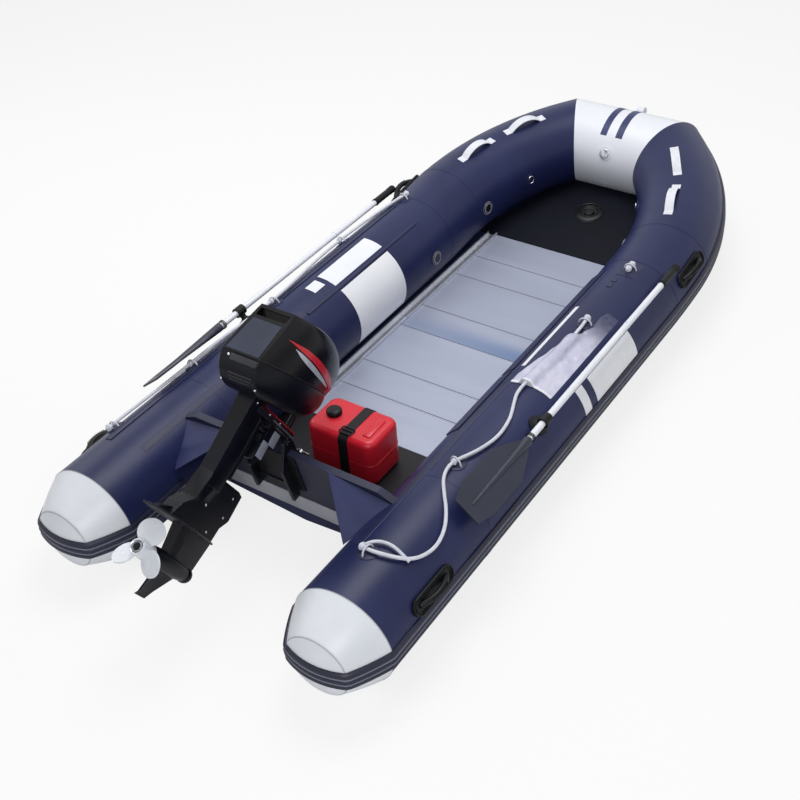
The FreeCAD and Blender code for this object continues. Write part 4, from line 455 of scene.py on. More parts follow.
# Stern cones: white moulded cones glued into the tube ends, a tapering barrel
# that closes in a rounder cap, with a fine seam between them.
cone_plastic = coating("white_cone_plastic", (221, 225, 233), (231, 234, 240), patch=5,
                       roughness=0.32, rough_spread=0.06, grain=600, grain_depth=0.00008,
                       level=0.45)
cone_seam = coating("grey_cone_seam", (150, 154, 164), (168, 171, 180), patch=20,
                    roughness=0.5)
CAP_R = 0.131
CAP_Y = 0.157
CONE_TIP = 0.187
CAP_SHARES = (0.06, 0.2, 0.38, 0.56, 0.72, 0.85, 0.94, 0.985)
CAP_STEP = 0.0018
SEAM_BEADS = ((CAP_Y, 0.0007), (0.0, 0.0011))
BARREL_SHARE = 0.44


def cone_radius(aft):
    """Radius of the cone at a distance aft of the tube's end."""
    if aft <= 0:
        return TUBE_R
    if aft <= CAP_Y:
        t = aft / CAP_Y
        middle = TUBE_R + (CAP_R - TUBE_R) * BARREL_SHARE
        return (TUBE_R * 2 * (t - 0.5) * (t - 1) - middle * 4 * t * (t - 1)
                + CAP_R * 2 * t * (t - 0.5))
    centre = (CONE_TIP ** 2 - CAP_Y ** 2 - CAP_R ** 2) / (2 * (CONE_TIP - CAP_Y))
    return math.sqrt(max(0.0, (CONE_TIP - centre) ** 2 - (aft - centre) ** 2))


def cone_ring(bm, side, radius, aft):
    """A ring of vertices round the cone's axis."""
    turns = [math.tau * k / RING_SIDES for k in range(RING_SIDES)]
    return [bm.verts.new((side * TUBE_X + radius * math.cos(turn), SEAM_Y - aft,
                          TUBE_R + radius * math.sin(turn))) for turn in turns]


bm = bmesh.new()
seams = bmesh.new()
for side in (-1, 1):
    rings = [cone_ring(bm, side, cone_radius(aft), aft) for aft in spread(0, CAP_Y, 0.01)]
    rings.append(cone_ring(bm, side, CAP_R - CAP_STEP, CAP_Y + 0.0008))
    for share in CAP_SHARES:
        aft = CAP_Y + (CONE_TIP - CAP_Y) * share
        rings.append(cone_ring(bm, side, cone_radius(aft), aft))
    skinned(bm, rings, RING_STEP)
    tip = bm.verts.new((side * TUBE_X, SEAM_Y - CONE_TIP, TUBE_R))
    for k in range(RING_SIDES):
        bm.faces.new((rings[-1][k], rings[-1][(k + 1) % RING_SIDES], tip))
    bm.faces.new(list(reversed(rings[0])))
    for aft, proud in SEAM_BEADS:
        around = [cone_ring(seams, side, cone_radius(aft + shift) + lift, aft + shift)
                  for shift, lift in ((-0.0016, -0.001), (-0.0014, proud), (0.0014, proud),
                                      (0.0016, -0.001))]
        skinned(seams, around + around[:1], 0.01)
cones = made_piece("stern_cone_shells", bm, cone_plastic, "hull")
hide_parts("stern_cones")
bmesh.ops.remove_doubles(seams, verts=seams.verts[:], dist=0.000001)
for vert in seams.verts:
    vert.co.z = max(vert.co.z, 0)
made_piece("stern_cone_seams", seams, cone_seam, "hull")

# Rub strake: a navy black rubber extrusion glued right round the outside and
# round both cones, three rounded ribs with a pale pinstripe in each groove.
strake_rubber = coating("navy_strake_rubber", (17, 20, 40), (26, 30, 54), patch=6,
                        roughness=0.4, grain=500, grain_depth=0.0002, level=0.4)
pale_pinstripe = coating("pale_pinstripe_rubber", (112, 118, 142), (138, 143, 164),
                         patch=14, roughness=0.5)
STRAKE_HALF = 0.042
STRAKE_INNER = 0.3
RIB_MIDDLES = (-0.0272, 0, 0.0272)
RIB_HALF = 0.0108
SKIN_GAP = 0.0004
EDGE_OFF = 0.0048
RIB_FOOT = 0.0066
RIB_HIGH = 0.0052
PINSTRIPE_HALF = 0.0021
PINSTRIPE_OFF = (0.0056, 0.0082)
STRAKE_START = 0.02


def strake_section():
    """(height on the tube, distance off its skin) round the extrusion."""
    edge = STRAKE_HALF - SKIN_GAP
    points = [(-edge, SKIN_GAP), (-STRAKE_HALF, EDGE_OFF)]
    for middle in RIB_MIDDLES:
        points += [(middle - RIB_HALF * math.cos(math.pi * k / 6),
                    RIB_FOOT + RIB_HIGH * math.sin(math.pi * k / 6)) for k in range(7)]
    points += [(STRAKE_HALF, EDGE_OFF), (edge, SKIN_GAP)]
    return points + [(z, SKIN_GAP) for z in (0.028, 0.014, 0, -0.014, -0.028)]


def pinstripe_section(middle):
    """The same round a flat stripe between two ribs."""
    low, high = PINSTRIPE_OFF
    return [(middle - PINSTRIPE_HALF, low), (middle - PINSTRIPE_HALF, high),
            (middle + PINSTRIPE_HALF, high), (middle + PINSTRIPE_HALF, low)]


def cone_reach(angle, height):
    """Plan distance from the end's centre to the cone's skin at that height."""
    near, far = 0.05, 0.3
    for _ in range(40):
        middle = (near + far) / 2
        across = middle * math.cos(angle)
        inside = across ** 2 + height ** 2 < cone_radius(middle * math.sin(angle)) ** 2
        if inside and middle * math.sin(angle) < CONE_TIP:
            near = middle
        else:
            far = middle
    return near


def cone_strip(side, angle, section):
    """Section of the strip at a plan angle round the cone of one side."""
    ring = []
    for z, off in section:
        plan = []
        for value in (angle - 0.02, angle, angle + 0.02):
            reach = cone_reach(min(max(value, 0), math.pi), z)
            plan.append(Vector((-side * math.cos(value), -math.sin(value), 0)) * reach)
        outward = (plan[2] - plan[0]).normalized().cross(Z_WAY)
        if outward.dot(plan[1]) < 0:
            outward.negate()
        ring.append(Vector((side * TUBE_X, SEAM_Y, TUBE_R + z)) + plan[1] + outward * off)
    return ring


def around_boat(bm, section):
    """One closed strip along a section, from the port inner end to starboard's."""
    rings = []
    for side in (-1, 1):
        own = []
        for run in spread(STRAKE_INNER, STRAKE_START, 0.05):
            centre = tube_at(side, run)[0]
            own.append([centre + Vector((-side * (math.sqrt(TUBE_R ** 2 - z * z) + off), 0, z))
                        for z, off in section])
        own += [cone_strip(side, math.pi * step / 48, section) for step in range(49)]
        for run in tube_runs(STRAKE_START, 0.1):
            centre, tangent, outboard, up_way = tube_at(side, run)
            own.append([centre + outboard * (math.sqrt(TUBE_R ** 2 - z * z) + off) + up_way * z
                        for z, off in section])
        point, normal = seam_plane(side)
        own.append([start + tangent * ((point - start).dot(normal) / tangent.dot(normal))
                    for start in own[-1]])
        rings += own if side < 0 else own[::-1]
    skinned(bm, [[bm.verts.new(place) for place in ring] for ring in rings], 0.004, capped=True)


bm = bmesh.new()
around_boat(bm, strake_section())
strake = made_piece("rub_strake_strip", bm, strake_rubber, "hull", smooth=40)
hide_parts("rub_strake")
bm = bmesh.new()
for low, high in zip(RIB_MIDDLES, RIB_MIDDLES[1:]):
    around_boat(bm, pinstripe_section((low + high) / 2))
made_piece("strake_pinstripes", bm, pale_pinstripe, "hull")

# White patches: coated fabric cut to shape and glued round both tubes, a wide
# panel with a narrow stripe aft of it, in pieces that leave the strips bare.
WRAP = (1.53, 1.905)
STRIPE = (1.425, 1.5)
NARROW = (1.425, 1.479)
OUTER = (12, 44)
PATCH_HEIGHT = 0.0015
PATCHES = ((-1, WRAP, OUTER), (-1, NARROW, OUTER), (-1, WRAP, (123, 206)),
           (-1, WRAP, (86, 114)), (-1, STRIPE, (88, 104)),
           (1, WRAP, OUTER), (1, NARROW, OUTER), (1, WRAP, (149, 206)),
           (1, (NARROW[0], WRAP[1]), (112, 117)))
patch_fabric = coating("white_patch_fabric", (232, 235, 242), (241, 243, 247), patch=5,
                       roughness=0.42, level=0.4, swell=(9, 0.003), **WOVEN)
bm = bmesh.new()
for side, (start, end), (low, high) in PATCHES:
    tube_patch(bm, side, spread(start, end, 0.03), low, high, PATCH_HEIGHT,
               across=max(3, round((high - low) / 3)))
patches = made_piece("white_wrap_patches", bm, patch_fabric, "hull")
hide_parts("wrap_bands")

# Clear film over the starboard patch: a loose sheet of milky plastic, creased
# where it was stuck down, with a ragged inner edge and a white folded hem.
film = coating("milky_film", (172, 172, 202), (222, 221, 235), patch=5, roughness=0.24,
               rough_spread=0.1, grain=60, grain_depth=0.0012, level=0.5, coat=0.2,
               swell=(22, 0.012))
film_hem = coating("white_film_hem", (222, 223, 236), (236, 236, 243), patch=20,
                   roughness=0.3, grain=100, grain_depth=0.0006)
FILM_RUNS = (1.3, 1.905)
HEM_RUNS = (1.297, 1.309)
FILM_OUTER = 59
FILM_HEIGHT = 0.0016
HEM_HEIGHTS = (0.0012, 0.0032)
FILM_COLUMNS = 56
FILM_CLEARS = (SEAM_Y + 1.6, SEAM_Y + 1.88)
FILM_EDGE = ((1.30, 111), (1.36, 111), (1.42, 107), (1.47, 104), (1.52, 99), (1.56, 97),
             (1.61, 93), (1.65, 92.5), (1.69, 82), (1.74, 81), (1.80, 77), (1.86, 78),
             (1.91, 74))
FILM_ROPE = ((1.29, 91.12), (1.35, 89.8), (1.43, 88.2), (1.51, 86.9), (1.60, 86.2),
             (1.69, 86.1))
FOLD_HEIGHT = 0.0011
RIDGE_HEIGHT = 0.0245
RIDGE_HALF = 0.024
RIDGE_SLOPE = 0.0042
RIDGE_END = 1.72
RIDGE_FADE = 0.05


def fade_along(tree, axis, span, low=0.0, high=1.0, kind="SMOOTHERSTEP"):
    """Value that goes from low to high over a span of an object axis."""
    coords = node_in(tree, "ShaderNodeTexCoord").outputs["Object"]
    place = node_in(tree, "ShaderNodeSeparateXYZ", {0: coords}).outputs[axis]
    return node_in(tree, "ShaderNodeMapRange",
                   {"Value": place, "From Min": span[0], "From Max": span[1], "To Min": low,
                    "To Max": high}, interpolation_type=kind).outputs["Result"]


def tinted(tree, share, colour):
    """Turns a coating's own tones into one more colour by a share."""
    tone = mixed(tree, share, tree.nodes["tones"].outputs["Color"], srgb(*colour))
    feed(tree, tree.nodes["Principled BSDF"], {"Base Color": tone})


def along_line(line, run):
    """Degrees at a run, read from a line of (run, degrees) pairs."""
    for (r0, d0), (r1, d1) in zip(line, line[1:]):
        if run <= r1:
            break
    return d0 + (d1 - d0) * (run - r0) / (r1 - r0)


def film_creases(run, degrees):
    """Height of the film over the tube: small folds and a ridge over the rope."""
    folds = (math.sin(run * 31 + degrees * 0.16) + math.sin(run * 57 - degrees * 0.31)
             + 0.8 * math.sin(run * 17 + degrees * 0.45) + 0.5 * math.sin(run * 93))
    away = abs(math.radians(degrees - along_line(FILM_ROPE, run))) * TUBE_R
    ridge = RIDGE_HEIGHT / (1 + math.exp((away - RIDGE_HALF) / RIDGE_SLOPE))
    fall = max(0.0, min(1.0, (RIDGE_END - run) / RIDGE_FADE))
    return FOLD_HEIGHT * max(0.0, folds) + ridge * fall


tree = film.node_tree
tree.nodes["tones"].color_ramp.elements.new(0.52).color = srgb(198, 198, 220)
tinted(tree, fade_along(tree, "Y", FILM_CLEARS), (46, 51, 88))
bm = bmesh.new()
tube_patch(bm, 1, spread(*FILM_RUNS, 0.008), FILM_OUTER,
           lambda run: along_line(FILM_EDGE, run), FILM_HEIGHT, across=FILM_COLUMNS,
           crumple=film_creases)
film_sheet = made_piece("patch_film", bm, film, "hull", smooth=60)
bm = bmesh.new()
tube_patch(bm, 1, spread(*HEM_RUNS, 0.004), FILM_OUTER + 0.5, FILM_EDGE[0][1] - 1,
           HEM_HEIGHTS[1], bottom=HEM_HEIGHTS[0], across=FILM_COLUMNS, crumple=film_creases)
hem = made_piece("patch_film_hem", bm, film_hem, "hull", smooth=60)

# Strips and seat flaps: a dark ribbed strip under the port rope, navy flaps on
# both inner sides, welded along the top and hemmed over a cord, and lap strips.
strip_fabric = coating("dark_strip_fabric", (24, 27, 58), (34, 38, 72), patch=8,
                       roughness=0.45, grain=700, grain_depth=0.0002, level=0.35,
                       weave=(90, 0.0002))
flap_fabric = coating("navy_flap_fabric", (27, 31, 63), (37, 42, 80), patch=6,
                      roughness=0.45, grain=800, grain_depth=0.00015, level=0.35,
                      weave=(110, 0.0001))
STRIP_RUNS = (0.21, 2.234)
STRIP_DEGREES = (67, 76)
STRIP_HEIGHT = 0.0026
FLAPS = ((-1, 1.3, 2.176, 117, 121), (1, 1.406, 2.234, 125, 147), (1, 0.968, 1.39, 125, 147))
FLAP_HEIGHT = 0.0034
FLAP_CORD = (0.9, 0.0032, 0.0028)
STRIP_CORD = (0.6, 0.0022, 0.0022)
WELD_DEGREES = 2.4
WELD_HEIGHT = 0.0046
LAPS = ((1, 0.24, 1.29, 111, 122, 0.0011), (-1, 0.24, 1.29, 111, 119, 0.0011),
        (1, 1.3, 2.234, 118.5, 124.5, 0.0008))
BEAD_HEIGHT = 0.0009
BEAD_R = 0.0014
UV_RADIUS = 0.01


def swept(bm, points, radius, sides=10, closed=False):
    """A round bar that follows the points, with capped ends."""
    count = len(points)
    rings = []
    side_way = None
    for k, point in enumerate(points):
        before = points[k - 1] if k or closed else points[k]
        after = points[(k + 1) % count] if k + 1 < count or closed else points[k]
        along = (after - before).normalized()
        if side_way is None:
            side_way = along.orthogonal()
        side_way = (side_way - along * side_way.dot(along)).normalized()
        other = along.cross(side_way)
        thick = radius(k / max(1, count - 1)) if callable(radius) else radius
        rings.append([bm.verts.new(point + turned(side_way, other, math.tau * i / sides) * thick)
                      for i in range(sides)])
    skinned(bm, rings, math.tau / sides * UV_RADIUS, capped=not closed)
    if closed:
        first = rings[0]
        last = rings[-1]
        shift = min(range(sides), key=lambda s: (last[0].co - first[s].co).length)
        for i in range(sides):
            bm.faces.new((last[i], last[(i + 1) % sides], first[(i + 1 + shift) % sides],
                          first[(i + shift) % sides]))


def skin_cord(bm, side, runs, degrees, height, radius, sides=10):
    """A round cord that lies along a tube."""
    swept(bm, [on_skin(side, run, degrees, height)[0] for run in runs], radius, sides)


bm = bmesh.new()
runs = spread(*STRIP_RUNS, 0.1)
tube_patch(bm, -1, runs, *STRIP_DEGREES, STRIP_HEIGHT)
inset, *cord = STRIP_CORD
for degrees in (STRIP_DEGREES[0] + inset, STRIP_DEGREES[1] - inset):
    skin_cord(bm, -1, runs, degrees, *cord)
strips = made_piece("port_rope_strip", bm, strip_fabric, "hull")
bm = bmesh.new()
inset, *cord = FLAP_CORD
for side, start, end, low, high in FLAPS:
    runs = spread(start, end, 0.08)
    tube_patch(bm, side, runs, low, high - inset, FLAP_HEIGHT, across=8)
    skin_cord(bm, side, runs, high - inset, *cord)
    tube_patch(bm, side, runs, low, low + WELD_DEGREES, WELD_HEIGHT, across=3)
flaps = made_piece("seat_flaps", bm, flap_fabric, "hull")
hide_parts("tube_strips")
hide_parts("tube_strips")
navy_thread = coating("navy_thread", (58, 64, 104), (76, 82, 124), patch=60,
                      roughness=0.7, grain=900)
bm = bmesh.new()
beads = bmesh.new()
for side, start, end, low, high, thick in LAPS:
    runs = spread(start, end, 0.1)
    tube_patch(bm, side, runs, low, high, thick)
    skin_cord(beads, side, runs, low, BEAD_HEIGHT, BEAD_R, 8)
made_piece("inner_lap_strips", bm, strip_fabric, "hull")
made_piece("inner_lap_beads", beads, navy_thread, "hull")

# Stitches: navy thread sewn through the flaps' welds. Stitches, ribs and flutes
# that repeat along a line all come from this one node tree of rounded studs.
def row_tree():
    """Node tree that stands small rounded studs at even steps along a line."""
    tree = bpy.data.node_groups.new("row_of_studs", "GeometryNodeTree")
    tree.is_modifier = True
    for name, way, kind in (("Line", "INPUT", "Geometry"), ("Spacing", "INPUT", "Float"),
                            ("Length", "INPUT", "Float"), ("Width", "INPUT", "Float"),
                            ("Height", "INPUT", "Float"), ("Finish", "INPUT", "Material"),
                            ("Row", "OUTPUT", "Geometry")):
        tree.interface.new_socket(name, in_out=way, socket_type="NodeSocket" + kind)

    def add(kind, output, sockets=None, **settings):
        return node_in(tree, kind, sockets, **settings).outputs[output]

    def stored(name):
        return add("GeometryNodeInputNamedAttribute", "Attribute", {"Name": name},
                   data_type="FLOAT_VECTOR")

    given = node_in(tree, "NodeGroupInput").outputs
    line = add("GeometryNodeMeshToCurve", "Curve", {"Mesh": given["Line"]})
    line = add("GeometryNodeResampleCurve", "Curve",
               {"Curve": line, "Length": given["Spacing"]}, mode="LENGTH")
    line = add("GeometryNodeStoreNamedAttribute", "Geometry",
               {"Geometry": line, "Name": "along",
                "Value": add("GeometryNodeInputTangent", "Tangent")},
               data_type="FLOAT_VECTOR", domain="POINT")
    points = add("GeometryNodeCurveToPoints", "Points", {"Curve": line}, mode="EVALUATED")
    upright = add("FunctionNodeAlignEulerToVector", "Rotation", {"Vector": stored("outward")},
                  axis="Z")
    facing = add("FunctionNodeAlignEulerToVector", "Rotation",
                 {"Rotation": upright, "Vector": stored("along")}, axis="X", pivot_axis="Z")
    sizes = add("ShaderNodeCombineXYZ", "Vector",
                {"X": given["Length"], "Y": given["Width"], "Z": given["Height"]})
    stud = add("GeometryNodeMeshUVSphere", "Mesh", {"Segments": 8, "Rings": 5})
    studs = add("GeometryNodeInstanceOnPoints", "Instances",
                {"Points": points, "Instance": stud, "Rotation": facing, "Scale": sizes})
    studs = add("GeometryNodeRealizeInstances", "Geometry", {"Geometry": studs})
    studs = add("GeometryNodeSetMaterial", "Geometry",
                {"Geometry": studs, "Material": given["Finish"]})
    node_in(tree, "NodeGroupOutput", {"Row": studs})
    return tree


ROW_TREE = row_tree()


def stud_row(name, lines, spacing, sizes, material, body):
    """Studs along several lines of (point, outward) pairs, as one piece."""
    mesh = bpy.data.meshes.new(name + "_lines")
    points = []
    outward = []
    edges = []
    for line in lines:
        first = len(points)
        points += [pair[0] for pair in line]
        outward += [pair[1] for pair in line]
        edges += [(first + k, first + k + 1) for k in range(len(line) - 1)]
    mesh.from_pydata(points, edges, [])
    layer = mesh.attributes.new("outward", "FLOAT_VECTOR", "POINT")
    for k, way in enumerate(outward):
        layer.data[k].vector = way
    source = placed(name + "_lines", mesh)
    row = source.modifiers.new("row", "NODES")
    row.node_group = ROW_TREE
    values = {"Spacing": spacing, "Length": sizes[0], "Width": sizes[1], "Height": sizes[2],
              "Finish": material}
    for item in ROW_TREE.interface.items_tree:
        if item.in_out == "INPUT" and item.name in values:
            row[item.identifier] = values[item.name]
    bpy.context.view_layer.update()
    evaluated = source.evaluated_get(bpy.context.evaluated_depsgraph_get())
    result = bpy.data.meshes.new_from_object(evaluated)
    bpy.data.objects.remove(source)
    result.name = name
    for extra in [a.name for a in result.attributes if a.name in ("outward", "along")]:
        result.attributes.remove(result.attributes[extra])
    piece = placed(name, result)
    for face in result.polygons:
        face.use_smooth = True
    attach(piece, body)


def skin_line(side, runs, degrees, height):
    """(point, outward) pairs along a tube."""
    return [on_skin(side, run, degrees, height)[:2] for run in runs]


SEWN_HEIGHT = 0.0049
SEWN_SHIFTS = (0.7, 1.8)
SEWN_STITCH = (0.0034, 0.0007, 0.0006)
stud_row("flap_stitches", [skin_line(side, spread(start, end, 0.08), low + shift, SEWN_HEIGHT)
                           for side, start, end, low, high in FLAPS for shift in SEWN_SHIFTS],
         0.011, SEWN_STITCH, navy_thread, "hull")

# Hull bottom, transom and gussets: fabric V, a painted plywood board with hard
# plastic motor pads on both faces, a pale band at its foot and navy gussets.
def loose_solids(bm):
    """Lists of the faces of each solid that hangs together."""
    found = []
    seen_faces = set()
    for face in bm.faces:
        if face in seen_faces:
            continue
        seen_faces.add(face)
        island = [face]
        for one in island:
            for other in [f for edge in one.edges for f in edge.link_faces]:
                if other not in seen_faces:
                    seen_faces.add(other)
                    island.append(other)
        found.append(island)
    return found


def dressed(node, material, bevel=0.0, smooth=30.0, pick=None, edge_highlight=None):
    """A merged copy of a CAD node with eased edges, that stands for the node.
    pick(centre, size) gives each loose solid its place in a list of finishes."""
    source = frame["nodes"][node]
    mesh = source.data.copy()
    mesh.materials.clear()
    bm = bmesh.new()
    bm.from_mesh(mesh)
    bmesh.ops.remove_doubles(bm, verts=bm.verts[:], dist=0.00002)
    bmesh.ops.dissolve_limit(bm, angle_limit=math.radians(0.5), verts=bm.verts[:],
                             edges=bm.edges[:])
    for island in loose_solids(bm):
        places = [v.co for face in island for v in face.verts]
        low = Vector([min(p[i] for p in places) for i in range(3)])
        high = Vector([max(p[i] for p in places) for i in range(3)])
        index = pick((low + high) / 2, high - low) if pick else 0
        for face in island:
            face.material_index = index
    bm.to_mesh(mesh)
    bm.free()
    for finish in material if isinstance(material, list) else [material]:
        mesh.materials.append(finish)
    shaded(mesh, smooth)
    piece = placed(node + "_dressed", mesh)
    if bevel:
        ease = piece.modifiers.new("eased_edges", "BEVEL")
        ease.width = bevel
        ease.segments = 2
        ease.limit_method = "ANGLE"
        ease.angle_limit = math.radians(35)
        ease.harden_normals = True
        # The bevel faces can take a finish of their own, a painted edge highlight.
        if edge_highlight:
            mesh.materials.append(edge_highlight)
            ease.material = len(mesh.materials) - 1
    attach(piece, source["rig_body"])
    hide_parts(node)
    return piece


black_plastic = coating("black_plastic", (9, 10, 13), (17, 18, 22), patch=10,
                        roughness=0.42, grain=600, grain_depth=0.0001, level=0.2)
hull_fabric = coating("navy_hull_fabric", (28, 32, 66), (38, 43, 82), patch=3,
                      roughness=0.45, grain=800, grain_depth=0.0001, level=0.35,
                      swell=(4, 0.004))
transom_paint = coating("navy_transom_paint", (20, 23, 46), (30, 34, 60), patch=4,
                        roughness=0.42, grain=300, grain_depth=0.0001, level=0.35, pale_edges=0.3)
pale_band = coating("pale_grey_fabric", (158, 160, 170), (182, 184, 192), patch=5,
                    roughness=0.5, grain=700, grain_depth=0.0002)
gusset_fabric = coating("navy_gusset_fabric", (32, 37, 76), (42, 48, 92), patch=5,
                        roughness=0.44, grain=800, grain_depth=0.00015, level=0.35,
                        swell=(9, 0.004))
dressed("hull_bottom", hull_fabric)
dressed("transom_board", transom_paint, 0.003)
dressed("motor_pads", black_plastic, 0.0015)
GUSSETS_ABOVE = 0.2
dressed("transom_fabric", [pale_band, gusset_fabric], 0.001,
        pick=lambda centre, size: 1 if centre.z > GUSSETS_ABOVE else 0)

# Floor: brushed aluminium planks with hooked joints and a row of small dimples
# along each, held in two bright channel rails, with dark mats fore and aft, and a
# blue tint on the planks ahead of the third seam that is a painted reflection.
PLANK_Z = 0.073
PLANKS_START = SEAM_Y + 1.055
PLANK_SEAMS = [PLANKS_START + run for run in (0.245, 0.432, 0.744, 0.931, 1.243, 1.43)]
PLANK_HALF = 0.3565
JOINT_DROP = 0.0006
JOINT_R = 0.0019
DIMPLES_AFT = 0.007
DIMPLE = (0.0022, 0.0018, 0.0006)
REFLECTION_SEAM = PLANK_SEAMS[2]
REFLECTION_REACH = 0.17
REFLECTION_FULL = 0.02
aluminium = coating("floor_aluminium", (158, 164, 184), (168, 174, 193), patch=1.2,
                    roughness=0.42, grain=160, grain_depth=0.00005, metallic=0.35,
                    stretch=(1, 5, 5), level=0.5)
tree = aluminium.node_tree
# Painted reflection: blue from the third plank seam forward, gone 0.17 m ahead of it, stronger
# to starboard.
ahead = fade_along(tree, "Y", (REFLECTION_SEAM, REFLECTION_SEAM + 0.0001), kind="LINEAR")
fading = fade_along(tree, "Y", (REFLECTION_SEAM + REFLECTION_REACH, REFLECTION_SEAM + REFLECTION_FULL))
sideways = fade_along(tree, "X", (-0.36, 0.3), 0.3, 0.85, "LINEAR")
share = math_in(tree, "MULTIPLY", math_in(tree, "MULTIPLY", ahead, fading), sideways)
tinted(tree, share, (84, 112, 156))
bright_metal = coating("bright_aluminium", (196, 199, 209), (218, 221, 228), patch=4,
                       roughness=0.26, grain=300, grain_depth=0.00006, metallic=0.7)
dark_dimple = coating("dark_dimple", (58, 62, 76), (78, 82, 98), patch=30, roughness=0.5)
mat_rubber = coating("dark_mat_rubber", (22, 20, 25), (34, 32, 38), patch=5,
                     roughness=0.55, grain=350, grain_depth=0.0004, level=0.2)
bow_cloth = coating("dark_bow_fabric", (8, 10, 19), (15, 18, 30), patch=3,
                    roughness=0.6, grain=700, grain_depth=0.0002, level=0.12, swell=(6, 0.006))
dressed("floor_planks", aluminium, 0.0006)
dressed("floor_rails", bright_metal, 0.0008)
dressed("aft_mat", mat_rubber, 0.002)
dressed("bow_floor", bow_cloth, 0.002)
stud_row("plank_dimples",
         [[(Vector((x, y - DIMPLES_AFT, PLANK_Z)), Z_WAY) for x in spread(-0.35, 0.35, 0.1)]
          for y in PLANK_SEAMS], 0.014, DIMPLE, dark_dimple, "hull")
bm = bmesh.new()
for y in PLANK_SEAMS:
    swept(bm, [Vector((x, y, PLANK_Z - JOINT_DROP)) for x in (-PLANK_HALF, PLANK_HALF)],
          JOINT_R, 8)
made_piece("plank_joints", bm, dark_dimple, "hull")

# Inflation valves: black cups welded into both inner faces, a flange, a fluted ring
# whose pale rims and flutes are a painted highlight, and a push cap; the keel valve
# has a wide flange in the floor.
valve_black = coating("black_valve_plastic", (8, 9, 12), (15, 17, 22), patch=20,
                      roughness=0.35, grain=500, grain_depth=0.0001, level=0.35)
# Pale: a painted highlight on the rims and flutes of the black valve ring.
valve_rim_highlight_paint = coating("painted_valve_rim_highlight", (150, 156, 176), (186, 190, 204), patch=40,
                     roughness=0.4)
INNER_FACE = 176
VALVE_RUNS = (2.176, 2.683)
VALVE_R = 0.035
VALVE_RINGS = ((0.8, 0, 0.0011), (0.99, 0.0045, 0.0009))
FLUTES_SHARE = 0.64
FLUTE = (0.0012, 0.0038, 0.0011)
FLANGE_HEIGHT = 0.0086
KEEL_SLOPE = 0.16
KEEL_RINGS = ((0.0705, 0.0082), (0.0435, 0.003), (0.0235, 0.0015))
KEEL_WIRE_R = 0.0022
dressed("keel_valve", valve_black, 0.0008)
dressed("tube_valves", valve_black, 0.0006)


def run_at(station):
    """Run length along the tube of a straight distance forward of the seam."""
    if station <= STRAIGHT:
        return station
    if SEAM_Y + station <= BEND_Y:
        return STRAIGHT + LIFT_R * math.asin((SEAM_Y + station - LIFT_Y) / LIFT_R)
    return LIFT_END + BOW_R * math.asin((SEAM_Y + station - BEND_Y) / math.cos(LIFT) / BOW_R)


def disc_frame(side, station, degrees, height):
    """Centre, outward, forward and across of a small part seated on a tube."""
    point, normal, tangent = on_skin(side, run_at(station), degrees, height)
    return point, normal, tangent, tangent.cross(normal)


def circle(centre, first, second, radius, count=24):
    """Points round a centre in the plane of two directions."""
    return [centre + turned(first, second, math.tau * k / count) * radius
            for k in range(count)]


def wire_ring(bm, centre, first, second, radius, thick, sides=6, count=24):
    """A ring of round wire in the plane of two directions."""
    swept(bm, circle(centre, first, second, radius, count), thick, sides, closed=True)


bm = bmesh.new()
flute_lines = []
for side in (-1, 1):
    for station in VALVE_RUNS:
        point, normal, forward, across = disc_frame(side, station, INNER_FACE, FLANGE_HEIGHT)
        for share, drop, thick in VALVE_RINGS:
            wire_ring(bm, point - normal * drop, forward, across, VALVE_R * share, thick,
                      count=40)
        ring = circle(point - normal * 0.0008, forward, across, VALVE_R * FLUTES_SHARE)
        flute_lines.append([(place, normal) for place in ring + ring[:1]])
made_piece("valve_rings", bm, valve_rim_highlight_paint, "hull")
stud_row("valve_flutes", flute_lines, 0.0094, FLUTE, valve_rim_highlight_paint, "hull")
bm = bmesh.new()
keel_low, keel_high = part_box("keel_valve")
keel_centre = (keel_low + keel_high) / 2
keel_centre.z = keel_high.z - 0.001
slope = turned(Y_WAY, Z_WAY, KEEL_SLOPE)
slope_up = turned(Z_WAY, -Y_WAY, KEEL_SLOPE)
for radius, drop in KEEL_RINGS:
    wire_ring(bm, keel_centre - slope_up * drop, X_WAY, slope, radius, KEEL_WIRE_R, 8, 48)
made_piece("keel_valve_rings", bm, valve_black, "hull")

# D rings and bow eye: chromed wire in webbing loops on round patches, and a
# white moulded lug with a cross hole, welded over the bow.
chrome = coating("chromed_steel", (200, 203, 210), (225, 227, 232), patch=20,
                 roughness=0.16, grain=300, grain_depth=0.00003, metallic=1.0)
white_lug = coating("white_lug_plastic", (216, 219, 227), (228, 230, 236), patch=12,
                    roughness=0.4, grain=400, grain_depth=0.0001)
LARGEST_WIRE = 0.06
BOW_HALF = 0.2


def ring_finish(centre, size):
    """Chrome for the wires, navy for the loops, white for the one on the bow."""
    if max(size) <= LARGEST_WIRE:
        return 0
    return 2 if abs(centre.x) < BOW_HALF else 1


dressed("d_rings", [chrome, flap_fabric, white_fabric], smooth=45,
        pick=ring_finish)
dressed("bow_eye", white_lug, 0.003)

